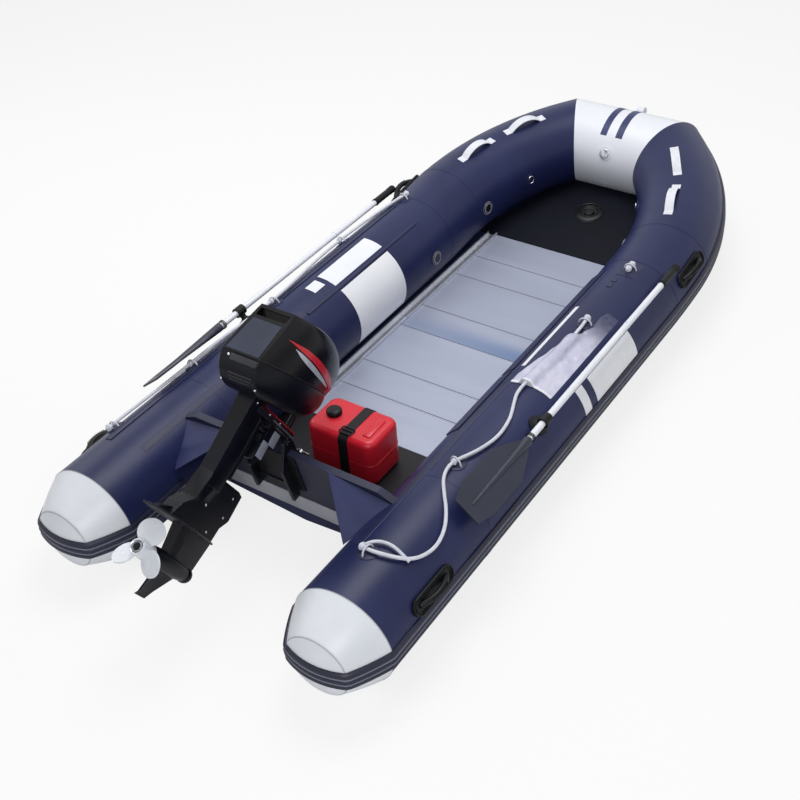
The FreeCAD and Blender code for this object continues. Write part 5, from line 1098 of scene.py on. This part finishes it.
# Lifting handles: white webbing arched over the tube, its feet glued down and
# sewn with a box of stitches.
webbing = coating("white_webbing", (220, 223, 232), (234, 236, 242), patch=30,
                  roughness=0.7, grain=900, grain_depth=0.0004, level=0.3)
grey_thread = coating("grey_thread", (150, 154, 170), (176, 180, 192), patch=60,
                      roughness=0.7)
dressed("web_handles", webbing, 0.0008)
WEB_MIDDLES = (2.85, 3.15)
WEB_DEGREES = 96
WEB_HALF = 0.12
STITCH_HEIGHT = 0.0022
STITCH_BOX = (0.029, 0.006)
STITCH_SIDE = 4.6
STITCH = (0.0014, 0.0005, 0.0004)
stitch_lines = []
for side in (-1, 1):
    for station in WEB_MIDDLES:
        for end in (-1, 1):
            near, far = [run_at(station) + end * (WEB_HALF - inset) for inset in STITCH_BOX]
            for degrees in (-STITCH_SIDE, STITCH_SIDE):
                stitch_lines.append(skin_line(side, spread(near, far, 0.01),
                                              WEB_DEGREES + degrees, STITCH_HEIGHT))
            for run in (near, far):
                stitch_lines.append([on_skin(side, run, WEB_DEGREES + degrees, STITCH_HEIGHT)[:2]
                                     for degrees in (-STITCH_SIDE, -2, 0, 2, STITCH_SIDE)])
stud_row("web_stitches", stitch_lines, 0.0042, STITCH, grey_thread, "hull")

# Carrying handles: black rubber, an oval plate with a raised rim and a bar that
# stands over the opening on two feet.
black_rubber = coating("black_handle_rubber", (10, 11, 14), (19, 21, 25), patch=12,
                       roughness=0.42, grain=500, grain_depth=0.0002, level=0.2)
dressed("carry_handles", black_rubber, 0.0012)
HANDLES = ((0.275, 22), (2.515, 31))
HANDLE_TOP = 0.009
RIMS = ((0.0865, 0.0335, 0.0032), (0.083, 0.026, 0.0018))
BAR_HEIGHT = 0.0375
BAR_ARCH = 3.1
BAR_RIB = (0.0016, 0.0088, 0.0022)
bm = bmesh.new()
ribs = []
for side in (-1, 1):
    for station, degrees in HANDLES:
        point, normal, forward, across = disc_frame(side, station, degrees, HANDLE_TOP)
        for half_length, half_width, thick in RIMS:
            oval = []
            for turn in [math.tau * k / 48 for k in range(48)]:
                straight = half_length * (1 if math.cos(turn) > 0 else -1)
                oval.append(point + forward * (straight + half_width * math.cos(turn))
                            + across * (half_width * math.sin(turn)))
            swept(bm, oval, thick, 8, closed=True)
        ribs.append([(point + forward * shift + normal * (BAR_HEIGHT - BAR_ARCH * shift ** 2),
                      normal) for shift in spread(-0.045, 0.045, 0.01)])
made_piece("handle_rims", bm, black_rubber, "hull")
stud_row("handle_ribs", ribs, 0.009, BAR_RIB, black_rubber, "hull")

# Oars: a bright tube with a black grip, a plastic collar that turns on a pin in
# a rubber base, and a dark blade with a centre rib and a bright rivet.
blade_plastic = coating("dark_blade_plastic", (35, 39, 53), (46, 50, 66), patch=6,
                        roughness=0.42, grain=400, grain_depth=0.0002, level=0.35)
oar_tube = coating("oar_aluminium", (228, 231, 240), (238, 240, 246), patch=6,
                   roughness=0.3, grain=300, grain_depth=0.00006, metallic=0.1)
OAR_PLACE = (1.149, 51, 0.052)
OAR_RINGS = [(run, 0.0192, 0.0018) for run in (-0.112, -0.118, -0.124)]
OAR_RINGS += [(run, 0.0172, 0.0015) for run in (1.068, 1.074, 1.19, 1.2, 1.21, 1.22)]
BRIGHT_RINGS = ((1.055, 0.0143, 0.0009), (0.72, 0.0146, 0.0014))
RIVET_RUN = -0.13
RIVET_HEIGHT = 0.0195
RIVET_HEAD = ((-0.003, 0.0045), (0, 0.0045), (0.0015, 0.002))


def round_head(bm, place, normal, profile):
    """A round head turned to a profile of (rise, radius) pairs."""
    last = len(profile) - 1
    swept(bm, [place + normal * rise for rise, radius in profile],
          lambda t: profile[round(t * last)][1], 12)


dressed("oarlock_bases", black_rubber, 0.001)
for side_name, side in (("port", -1), ("starboard", 1)):
    dressed(side_name + "_oarlock", black_plastic, 0.001)
    dressed(side_name + "_oar_shaft", oar_tube)
    dressed(side_name + "_oar_grip", black_rubber, 0.002)
    dressed(side_name + "_oar_blade", blade_plastic, 0.0015)
    point, normal, forward, across = disc_frame(side, *OAR_PLACE)
    bm = bmesh.new()
    for run, radius, thick in OAR_RINGS:
        wire_ring(bm, point + forward * run, across, normal, radius, thick)
    made_piece(side_name + "_oar_rings", bm, black_rubber, side_name + "_oar")
    bm = bmesh.new()
    for run, radius, thick in BRIGHT_RINGS:
        wire_ring(bm, point + forward * run, across, normal, radius, thick)
    round_head(bm, point + forward * RIVET_RUN + normal * RIVET_HEIGHT, normal, RIVET_HEAD)
    made_piece(side_name + "_oar_rivet", bm, chrome, side_name + "_oar")

# Grab ropes: white braided line run through moulded hoops on round patches,
# ending in stopper knots; each lies loose along the top of its tube.
rope_white = coating("white_braided_rope", (212, 216, 230), (232, 234, 242), patch=40,
                     roughness=0.75, grain=1200, grain_depth=0.0003, level=0.25,
                     weave=(95, 0.0009))
hoop_plastic = coating("pale_hoop_plastic", (196, 200, 214), (214, 217, 228), patch=30,
                       roughness=0.35, grain=500)
ROPE_R = 0.007
ROPE_HEIGHT = 0.016
KNOT_R = 0.013
HITCH_R = 0.0115
HOOP_R = 0.028
HOOP_WIRE_R = 0.0036
KNOT_TURNS = 2.6
PATCH_RINGS = ((0.0398, -0.004), (0.0398, 0.0022), (0.0375, 0.0031), (0.012, 0.0036))
FORWARD_ANCHOR = (1, 1.009, 91)
FORWARD_BAR = (-0.034, -0.02, 0, 0.02, 0.034)
FORWARD_KNOTS = (-0.0195, 0.0195)
FORWARD_PATCH = (2.195, 2.315)
FORWARD_DEGREES = (79, 103)
FORWARD_TABS = (2.085, 2.13)
TAB_DEGREES = (95, 101)
TAB_WIDTH = 0.026
HITCH_AHEAD = 0.012
EYE_R = 0.0062
EYE_ROUTE = ((0.26, 59), (0.264, 66), (0.272, 76), (0.273, 86), (0.262, 95), (0.242, 101),
             (0.224, 103.5))
PORT_ROUTE = ((1.0492, 75.3), (1.0385, 74), (1.0192, 71), (0.9848, 66), (0.9311, 60),
              (0.8818, 54.5), (0.8438, 50.5), (0.7923, 51.5), (0.7386, 57), (0.6849, 63),
              (0.6267, 68), (0.5743, 70), (0.5143, 69), (0.4525, 64), (0.3939, 61),
              (0.3389, 61.5), (0.2775, 60.5), (0.2193, 57.5), (0.1790, 55), (0.1522, 53.8),
              (0.1343, 54), (0.1235, 54.6))
STARBOARD_ROUTE = ((0.8093, 87.5), (0.7986, 87), (0.7780, 86), (0.7408, 85.5), (0.6759, 86.5),
                   (0.6110, 89.5), (0.5515, 91.5), (0.5148, 84), (0.4803, 76.5),
                   (0.4320, 73.5), (0.3872, 78.5), (0.3581, 85), (0.3397, 90), (0.3201, 92),
                   (0.2932, 88), (0.2663, 77.5), (0.2399, 65), (0.2117, 55), (0.1799, 50),
                   (0.1504, 51.5), (0.1231, 58.5), (0.1074, 70), (0.0994, 81), (0.0958, 89),
                   (0.0958, 97), (0.0980, 103))
ROPES = (("port", -1, PORT_ROUTE, 2.078, (1, 6, 11, 15, 20)),
         ("starboard", 1, STARBOARD_ROUTE, 1.795, (1, 12, 24)))


def rope_place(side, share, degrees, height):
    """A place over the tube: share of the straight run forward of the seam."""
    return disc_frame(side, STRAIGHT * share, degrees, height)


def spline_points(name, points):
    """Points read from one smooth spline with these as its control points."""
    data = bpy.data.curves.new(name, "CURVE")
    data.dimensions = "3D"
    data.resolution_u = 14
    spline = data.splines.new("NURBS")
    spline.points.add(len(points) - 1)
    for target, point in zip(spline.points, points):
        target.co = (*point, 1)
    spline.order_u = 3
    spline.use_endpoint_u = True
    line = placed(name, data)
    bpy.context.view_layer.update()
    evaluated = line.evaluated_get(bpy.context.evaluated_depsgraph_get())
    mesh = bpy.data.meshes.new_from_object(evaluated)
    result = [v.co.copy() for v in mesh.vertices]
    bpy.data.meshes.remove(mesh)
    bpy.data.objects.remove(line)
    return result


def knot_on(bm, centre, along, outward, size):
    """A stopper knot: turns of rope drawn tight round the rope's own line."""
    across = along.cross(outward).normalized()
    turns = []
    for k in range(61):
        t = k / 60
        swell = math.sin(math.pi * t)
        turns.append(centre + along * (size * (1.5 * t - 0.75))
                     + turned(across, outward, math.tau * KNOT_TURNS * t)
                     * size * (0.25 + 0.5 * swell))
    swept(bm, turns, lambda t: size * (0.36 + 0.16 * math.sin(math.pi * t)), 10)


def tube_outward(side, place):
    """Way from the straight tube's axis out to a place."""
    return (place - Vector((side * TUBE_X, place.y, TUBE_R))).normalized()


def anchor_patch(bm, point, normal, forward, across):
    """A round patch that follows the tube's skin."""
    rings = []
    for radius, lift in PATCH_RINGS:
        ring = []
        for flat in circle(Vector(), forward, across, radius, 32):
            sink = TUBE_R - math.sqrt(TUBE_R ** 2 - flat.dot(across) ** 2)
            ring.append(bm.verts.new(point + flat + normal * (lift - sink)))
        rings.append(ring)
    skinned(bm, rings, 0.008, capped=True)


anchor_discs = bmesh.new()
hoops = bmesh.new()
knot_sets = []
for side_name, side, route, length, hoop_points in ROPES:
    control = [rope_place(side, share, degrees, ROPE_HEIGHT)[0] for share, degrees in route]
    line = spline_points(side_name + "_rope_line", control)
    bm = bmesh.new()
    swept(bm, line, ROPE_R, 14)
    rope = made_piece(side_name + "_grab_rope", bm, rope_white, "hull", smooth=60)
    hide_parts(side_name + "_rope")
    knots = bmesh.new()
    for place, other in ((control[0], control[1]), (control[-1], control[-2])):
        knot_on(knots, place, (other - place).normalized(), tube_outward(side, place), KNOT_R)
    for i in hoop_points[1:-1]:
        near = min(range(len(line)), key=lambda k: (line[k] - control[i]).length)
        along = (line[near + 1] - line[near - 1]).normalized()
        knot_on(knots, line[near] + along * HITCH_AHEAD, along,
                tube_outward(side, line[near]), HITCH_R)
    knot_set = made_piece(side_name + "_rope_knots", knots, rope_white, "hull",
                          smooth=60)
    knot_sets.append(knot_set)
    anchors = [(rope_place(side, *route[i], 0), control[i + 1] - control[i - 1])
               for i in hoop_points]
    if side > 0:
        place = rope_place(*FORWARD_ANCHOR, 0)
        anchors.append((place, place[2]))
        centre, outward, along = rope_place(*FORWARD_ANCHOR, ROPE_HEIGHT)[:3]
        knots = bmesh.new()
        swept(knots, [centre + along * shift for shift in FORWARD_BAR], ROPE_R, 12)
        for shift in FORWARD_KNOTS:
            knot_on(knots, centre + along * shift, along, outward, KNOT_R)
        knot_sets.append(made_piece("forward_rope_knots", knots, rope_white, "hull",
                                    smooth=60))
    for (point, normal, forward, across), way in anchors:
        anchor_patch(anchor_discs, point, normal, forward, across)
        cross = (way - normal * way.dot(normal)).normalized().cross(normal)
        swept(hoops, [point + normal * 0.0006 + turned(cross, normal, math.pi * k / 24) * HOOP_R
                      for k in range(25)], HOOP_WIRE_R, 10)
discs = made_piece("rope_anchor_patches", anchor_discs, strip_fabric, "hull")
hoop_set = made_piece("rope_hoops", hoops, hoop_plastic, "hull")
for piece in [discs, hoop_set] + knot_sets:
    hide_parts("rope_anchors")
eye = spline_points("rope_eye_line", [disc_frame(1, run, degrees, ROPE_HEIGHT)[0]
                                      for run, degrees in EYE_ROUTE])
bm = bmesh.new()
swept(bm, eye, EYE_R, 12)
strand = made_piece("starboard_rope_eye", bm, rope_white, "hull", smooth=60)
bm = bmesh.new()
tube_patch(bm, 1, spread(*FORWARD_PATCH, 0.03), *FORWARD_DEGREES, 0.0012, across=8)
for run in FORWARD_TABS:
    tube_patch(bm, 1, spread(run, run + TAB_WIDTH, 0.013), *TAB_DEGREES, 0.0022, across=3)
made_piece("forward_anchor_patch", bm, strip_fabric, "hull")

# Fuel tank: red blow moulded plastic with a mould line round its middle, a
# black screw cap and a webbing strap with a buckle.
red_plastic = coating("red_tank_plastic", (205, 26, 44), (218, 38, 56), patch=6,
                      roughness=0.34, grain=500, grain_depth=0.0001, level=0.4)
strap_webbing = coating("black_strap_webbing", (14, 14, 18), (24, 24, 30), patch=30,
                        roughness=0.65, grain=900, grain_depth=0.0004, level=0.25)
TANK_CORNER = 0.045
TANK_TOP = 0.298
MOULD_LINE = 0.183
MOULD_LINE_R = 0.0019
CAP_FOOT = 0.2985
CAP_PLACE = Vector((-0.0691, -0.768, 0.3085))
TANK_CAP_R = 0.0318
CAP_RIB = (0.0017, 0.0085, 0.0016)
RIDGE_PLACE = Vector((0.13, -0.768, TANK_TOP))
RIDGE_HALVES = (0.018, 0.06, 0.006)
BUCKLE = Vector((0.045, -0.838, 0.3035))
BUCKLE_HALVES = (0.029, 0.02)
BUCKLE_CORNERS = ((1, 0.8), (0.85, 1), (-0.85, 1), (-1, 0.8), (-1, -0.8), (-0.85, -1),
                  (0.85, -1), (1, -0.8))
BUCKLE_R = 0.0028
BAR_R = 0.0024
tank = dressed("fuel_tank", [red_plastic, black_plastic])
for face in tank.data.polygons:
    if face.center.z > CAP_FOOT:
        face.material_index = 1
dressed("tank_strap", strap_webbing, 0.0006)


def eased_block(bm, centre, axes, halves, ease):
    """A small block with eased edges, its half sizes along three axes."""
    made = bmesh.ops.create_cube(bm, size=2)["verts"]
    for vert in made:
        vert.co = centre + sum((axis * (value * half) for axis, value, half
                                in zip(axes, tuple(vert.co), halves)), Vector())
    edges = list(dict.fromkeys(edge for vert in made for edge in vert.link_edges))
    bmesh.ops.bevel(bm, geom=edges, offset=ease, segments=2, profile=0.5, affect="EDGES")


tank_low, tank_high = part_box("fuel_tank")
tank_middle = (tank_low + tank_high) / 2
tank_middle.z = MOULD_LINE
reach_x, reach_y = [value - TANK_CORNER for value in (tank_high - tank_middle)[:2]]
outline = []
for turn, x, y in ((0, 1, 1), (1, -1, 1), (2, -1, -1), (3, 1, -1)):
    corner = tank_middle + Vector((x * reach_x, y * reach_y, 0))
    outline += [corner + turned(X_WAY, Y_WAY, math.pi / 2 * (turn + k / 6)) * TANK_CORNER
                for k in range(7)]
bm = bmesh.new()
swept(bm, outline, MOULD_LINE_R, 8, closed=True)
eased_block(bm, RIDGE_PLACE, AXES, RIDGE_HALVES, 0.004)
made_piece("tank_mould_line", bm, red_plastic, "hull")
rim = [(CAP_PLACE + way * TANK_CAP_R, way) for way in circle(Vector(), X_WAY, Y_WAY, 1, 48)]
stud_row("tank_cap_ribs", [rim + rim[:1]], 0.0085, CAP_RIB, black_plastic, "hull")
bm = bmesh.new()
swept(bm, [BUCKLE + Vector((x * BUCKLE_HALVES[0], y * BUCKLE_HALVES[1], 0))
           for x, y in BUCKLE_CORNERS], BUCKLE_R, 8, closed=True)
swept(bm, [BUCKLE + Vector((x, 0, 0.001)) for x in (-0.028, 0.028)], BAR_R, 8)
made_piece("strap_buckle", bm, black_plastic, "hull")

# Outboard motor: die cast brackets, leg and gearcase in black enamel with a
# painted highlight along their eased edges, a glossy moulded cowl over its pan,
# chromed clamp screws and a white cast propeller, all bolted together.
# Its edges turn pale by pointiness, a painted highlight.
motor_black = coating("black_motor_enamel", (6, 7, 13), (13, 15, 26), patch=9,
                      roughness=0.3, rough_spread=0.06, grain=500, grain_depth=0.00006,
                      level=0.2, pale_edges=0.35)
# Light grey: the gear rod's own colour, and on the swivel bracket a painted highlight of its
# outer faces.
grey_rod_and_face_highlight = coating("grey_rod_and_painted_face_highlight", (122, 126, 142), (148, 152, 166), patch=12,
                     roughness=0.4, grain=300, grain_depth=0.0001)
cowl_gloss = coating("black_cowl_gloss", (6, 6, 10), (11, 12, 17), patch=5,
                     roughness=0.24, rough_spread=0.04, grain=400, grain_depth=0.00003,
                     level=0.18, coat=0.05)
white_paint = coating("white_propeller_paint", (216, 221, 230), (228, 232, 238),
                      patch=12, roughness=0.28, grain=300, grain_depth=0.00005, coat=0.2)
# Pale colour for the bevel faces of the brackets, leg and gearcase: a painted highlight along
# their edges.
edge_highlight_paint = coating("painted_edge_highlight", (92, 96, 118), (138, 142, 160), patch=30,
                    roughness=0.34, grain=500, grain_depth=0.00006, level=0.4)
dressed("clamp_bracket", motor_black, 0.0014, edge_highlight=edge_highlight_paint)
dressed("clamp_screws", chrome, 0.001)
dressed("swivel_bracket", motor_black, 0.0014, edge_highlight=edge_highlight_paint)
dressed("drive_leg", motor_black, 0.0024, edge_highlight=edge_highlight_paint)
dressed("gearcase", motor_black, 0.0012, edge_highlight=edge_highlight_paint)
dressed("cowl", cowl_gloss, 0.004)
dressed("lower_pan", motor_black, 0.003)
dressed("powerhead", black_plastic)
dressed("tiller", motor_black)
propeller = dressed("propeller", white_paint)
TILT_PIN = Vector((-0.075, -1.166, 0.475))
TILT = Matrix.Rotation(math.radians(-60.5), 3, "X")
LEAN = Matrix.Rotation(math.radians(11), 3, "X")
COWL_PLACE = Vector((0, -0.414, 0.152))
HUB_DROP = -0.614
SHEET_SUNK = 0.0006


def on_motor(x, forward, rise):
    """A place in the motor's own upright frame, counted from the tilt pin."""
    return TILT_PIN + TILT @ Vector((x, forward, rise))


def on_cowl(x, forward, rise):
    """A place in the leaned frame of the cowl and the pan under it."""
    return on_motor(*(LEAN @ Vector((x, forward, rise)) + COWL_PLACE))


def surface_of(*nodes):
    """The CAD surfaces of some nodes, for finding places on them."""
    bm = bmesh.new()
    for node in nodes:
        bm.from_mesh(frame["nodes"][node].data)
    tree = BVHTree.FromBMesh(bm)
    bm.free()
    return tree


def laid_on(bm, surface, low_line, high_line, way, steps=30, across=6, lift=0.0008):
    """A thin closed sheet between two lines, cast along a way onto a surface."""
    def between(line, t):
        place = t * (len(line) - 1)
        k = min(int(place), len(line) - 2)
        return line[k].lerp(line[k + 1], place - k)

    rings = []
    for i in range(steps + 1):
        first, last = between(low_line, i / steps), between(high_line, i / steps)
        top = []
        bottom = []
        for k in range(across + 1):
            target = first.lerp(last, k / across)
            hit, normal = surface.ray_cast(target - way * 0.3, way)[:2]
            if hit is None:
                hit, normal = surface.find_nearest(target)[:2]
            if normal.dot(way) > 0:
                normal = -normal
            top.append(bm.verts.new(hit + normal * lift))
            bottom.append(bm.verts.new(hit - normal * SHEET_SUNK))
        rings.append(top + bottom[::-1])
    skinned(bm, rings, 0.01, capped=True)


# Cowl trim: a blue grey sheet over the rear face, its colour a painted sheen of
# the glossy cowl, a rubber seal on the parting line, a latch and louvres on the
# pan in a black lightened by painted sheen, a red and a silver stroke on each side.
FOIL_GRAIN = dict(grain=300, grain_depth=0.00003)
red_stroke = coating("red_stroke_foil", (196, 16, 34), (210, 26, 44), patch=14, roughness=0.28,
                     coat=0.1, **FOIL_GRAIN)
silver_stroke = coating("silver_stroke_foil", (176, 178, 192), (204, 205, 216), patch=14,
                        roughness=0.3, metallic=0.3, **FOIL_GRAIN)
# Blue grey laid over the glossy black cowl: a painted sheen of its rear face.
rear_sheen_paint = coating("painted_cowl_rear_sheen", (36, 41, 58), (48, 53, 74), patch=5, roughness=0.3,
                     level=0.3, **FOIL_GRAIN)
# A black lightened for the latch and louvres, a painted sheen of their reflections; its specular
# level is real.
trim_sheen_paint = coating("black_trim_painted_sheen", (20, 21, 29), (32, 34, 45), patch=12,
                     roughness=0.32, grain=400, grain_depth=0.00006, level=0.5)
cowl_skin = surface_of("cowl")
pan_skin = surface_of("lower_pan")
motor_skin = surface_of("cowl", "lower_pan", "drive_leg", "gearcase", "tiller")
STROKE_X = 0.14
RED_HIGH = ((0.1, 0.118), (0.2, 0.116), (0.3, 0.1), (0.4, 0.075), (0.5, 0.044))
RED_LOW = ((0.1, 0.117), (0.17, 0.1), (0.26, 0.081), (0.36, 0.056), (0.5, 0.02))
SILVER_HIGH = ((0.14, 0.098), (0.18, 0.092), (0.25, 0.077), (0.33, 0.057), (0.44, 0.03))
SILVER_LOW = ((0.14, 0.097), (0.175, 0.077), (0.23, 0.06), (0.31, 0.043), (0.44, 0.024))
for name, high, low, finish in (("red", RED_HIGH, RED_LOW, red_stroke),
                                ("silver", SILVER_HIGH, SILVER_LOW, silver_stroke)):
    bm = bmesh.new()
    for side in (-1, 1):
        edges = [[on_cowl(STROKE_X * side, f, u) for f, u in edge] for edge in (low, high)]
        laid_on(bm, cowl_skin, *edges, X_WAY * -side)
    made_piece(name + "_cowl_strokes", bm, finish, "motor", smooth=50)
ahead_way = (on_cowl(0, 1, 0) - on_cowl(0, 0, 0)).normalized()
rise_way = (on_cowl(0, 0, 1) - on_cowl(0, 0, 0)).normalized()
SHEEN_SHEET = ((0.075, 0, 0.01), (0.066, 0.075, 0.15))
SEAL_HEART = (0, 0.29, 0.004)
SEAL_R = 0.0028
LATCH_PLACE = (0.027, 0.002, -0.018)
LATCH_HALVES = (0.06, 0.011, 0.013)
LOUVRES = ((-0.04, 0.072, 0.027, -0.072), (-0.036, 0.066, 0.036, -0.082),
           (-0.032, 0.061, 0.045, -0.092))
LOUVRE_R = 0.0036
bm = bmesh.new()
edges = [[on_cowl(side * x, forward, rise) for x, forward, rise in SHEEN_SHEET] for side in (-1, 1)]
laid_on(bm, cowl_skin, *edges, ahead_way, 12, 14)
made_piece("cowl_rear_sheen_sheet", bm, rear_sheen_paint, "motor", smooth=50)
seal = []
for way in circle(Vector(), X_WAY, ahead_way, 1, 72):
    hit = cowl_skin.ray_cast(on_cowl(*SEAL_HEART) + way * 0.7, -way)[0]
    if hit is not None:
        seal.append(hit)
bm = bmesh.new()
swept(bm, seal, SEAL_R, 8, closed=True)
made_piece("cowl_seal", bm, black_rubber, "motor")
bm = bmesh.new()
eased_block(bm, on_cowl(*LATCH_PLACE), (X_WAY, ahead_way, rise_way), LATCH_HALVES, 0.003)
for x0, x1, forward, rise in LOUVRES:
    places = [pan_skin.find_nearest(on_cowl(x, forward, rise))[0] for x in spread(x0, x1, 0.02)]
    swept(bm, places, LOUVRE_R, 8)
made_piece("pan_latch_and_louvres", bm, trim_sheen_paint, "motor")

# Fasteners and rods: domed stainless heads on the leg, gearcase and pan, light
# grey sheets on the swivel bracket's outer faces as a painted highlight of those
# faces, a throttle and a gear rod along the tiller, and a chromed ring and dark nut
# on the hub.
SCREWS = [on_cowl(0.079, 0.06, -0.101), on_cowl(-0.079, 0.06, -0.101),
          on_cowl(-0.05, 0.0, -0.014), on_motor(0.041, -0.226, 0.052),
          on_motor(0.045, -0.123, 0.049), on_motor(-0.018, 0.064, 0.071)]
for x in (-0.036, 0.036):
    SCREWS += [on_motor(x, -0.193, -0.363), on_motor(x, -0.054, -0.286),
               on_motor(x, -0.052, -0.365), on_motor(x, -0.102, -0.443)]
SCREW_HEAD = ((-0.002, 0.0052), (0.0012, 0.0052), (0.0026, 0.0038), (0.0032, 0.0012))
FACE_HIGHLIGHTS = (((0.062, -0.044, -0.018), 0.029), ((0.062, -0.083, -0.078), 0.034))
FACE_HIGHLIGHT_HALVES = (0.0022, 0.024)
ROD_X = -0.0155
ROD_REACH = (-0.08, 0.186)
ROD_R = 0.0032
RODS = (("throttle_rod", 0.08, red_stroke), ("gear_rod", 0.063, grey_rod_and_face_highlight))
RING_R = 0.026
RING_WIRE_R = 0.0028
HUB_EDGE = (0.028, 0.037)
bm = bmesh.new()
for place in SCREWS:
    hit, normal = motor_skin.find_nearest(place)[:2]
    round_head(bm, hit, normal, SCREW_HEAD)
made_piece("motor_screws", bm, chrome, "motor")
# Sheets on the swivel bracket that paint the highlight of its outer faces.
swivel_skin = surface_of("swivel_bracket")
bm = bmesh.new()
for place, length in FACE_HIGHLIGHTS:
    hit = swivel_skin.find_nearest(on_motor(*place))[0]
    eased_block(bm, hit, (X_WAY, TILT @ Y_WAY, TILT @ Z_WAY), (*FACE_HIGHLIGHT_HALVES, length),
                0.001)
made_piece("swivel_face_highlights", bm, grey_rod_and_face_highlight, "motor_swivel")
for name, rise, finish in RODS:
    bm = bmesh.new()
    swept(bm, [on_motor(ROD_X, forward, rise) for forward in spread(*ROD_REACH, 0.03)], ROD_R)
    made_piece(name, bm, finish, "motor")
UNTILT = TILT.transposed()


def from_motor(place):
    """A place counted from the tilt pin in the motor's own upright frame."""
    return UNTILT @ (place - TILT_PIN)


corners = [from_motor(vert.co) for vert in propeller.data.vertices]
hub_end = min(corner.y for corner in corners
              if HUB_EDGE[0] < math.hypot(corner.x, corner.z - HUB_DROP) < HUB_EDGE[1])
propeller.data.materials.append(black_plastic)
for face in propeller.data.polygons:
    if from_motor(face.center).y < hub_end - 0.0005:
        face.material_index = 1
bm = bmesh.new()
wire_ring(bm, on_motor(0, hub_end, HUB_DROP), X_WAY, TILT @ Z_WAY, RING_R, RING_WIRE_R, 8, 36)
made_piece("propeller_ring", bm, chrome, "propeller")

# Brings the scene up to date at the end.
bpy.context.view_layer.update()
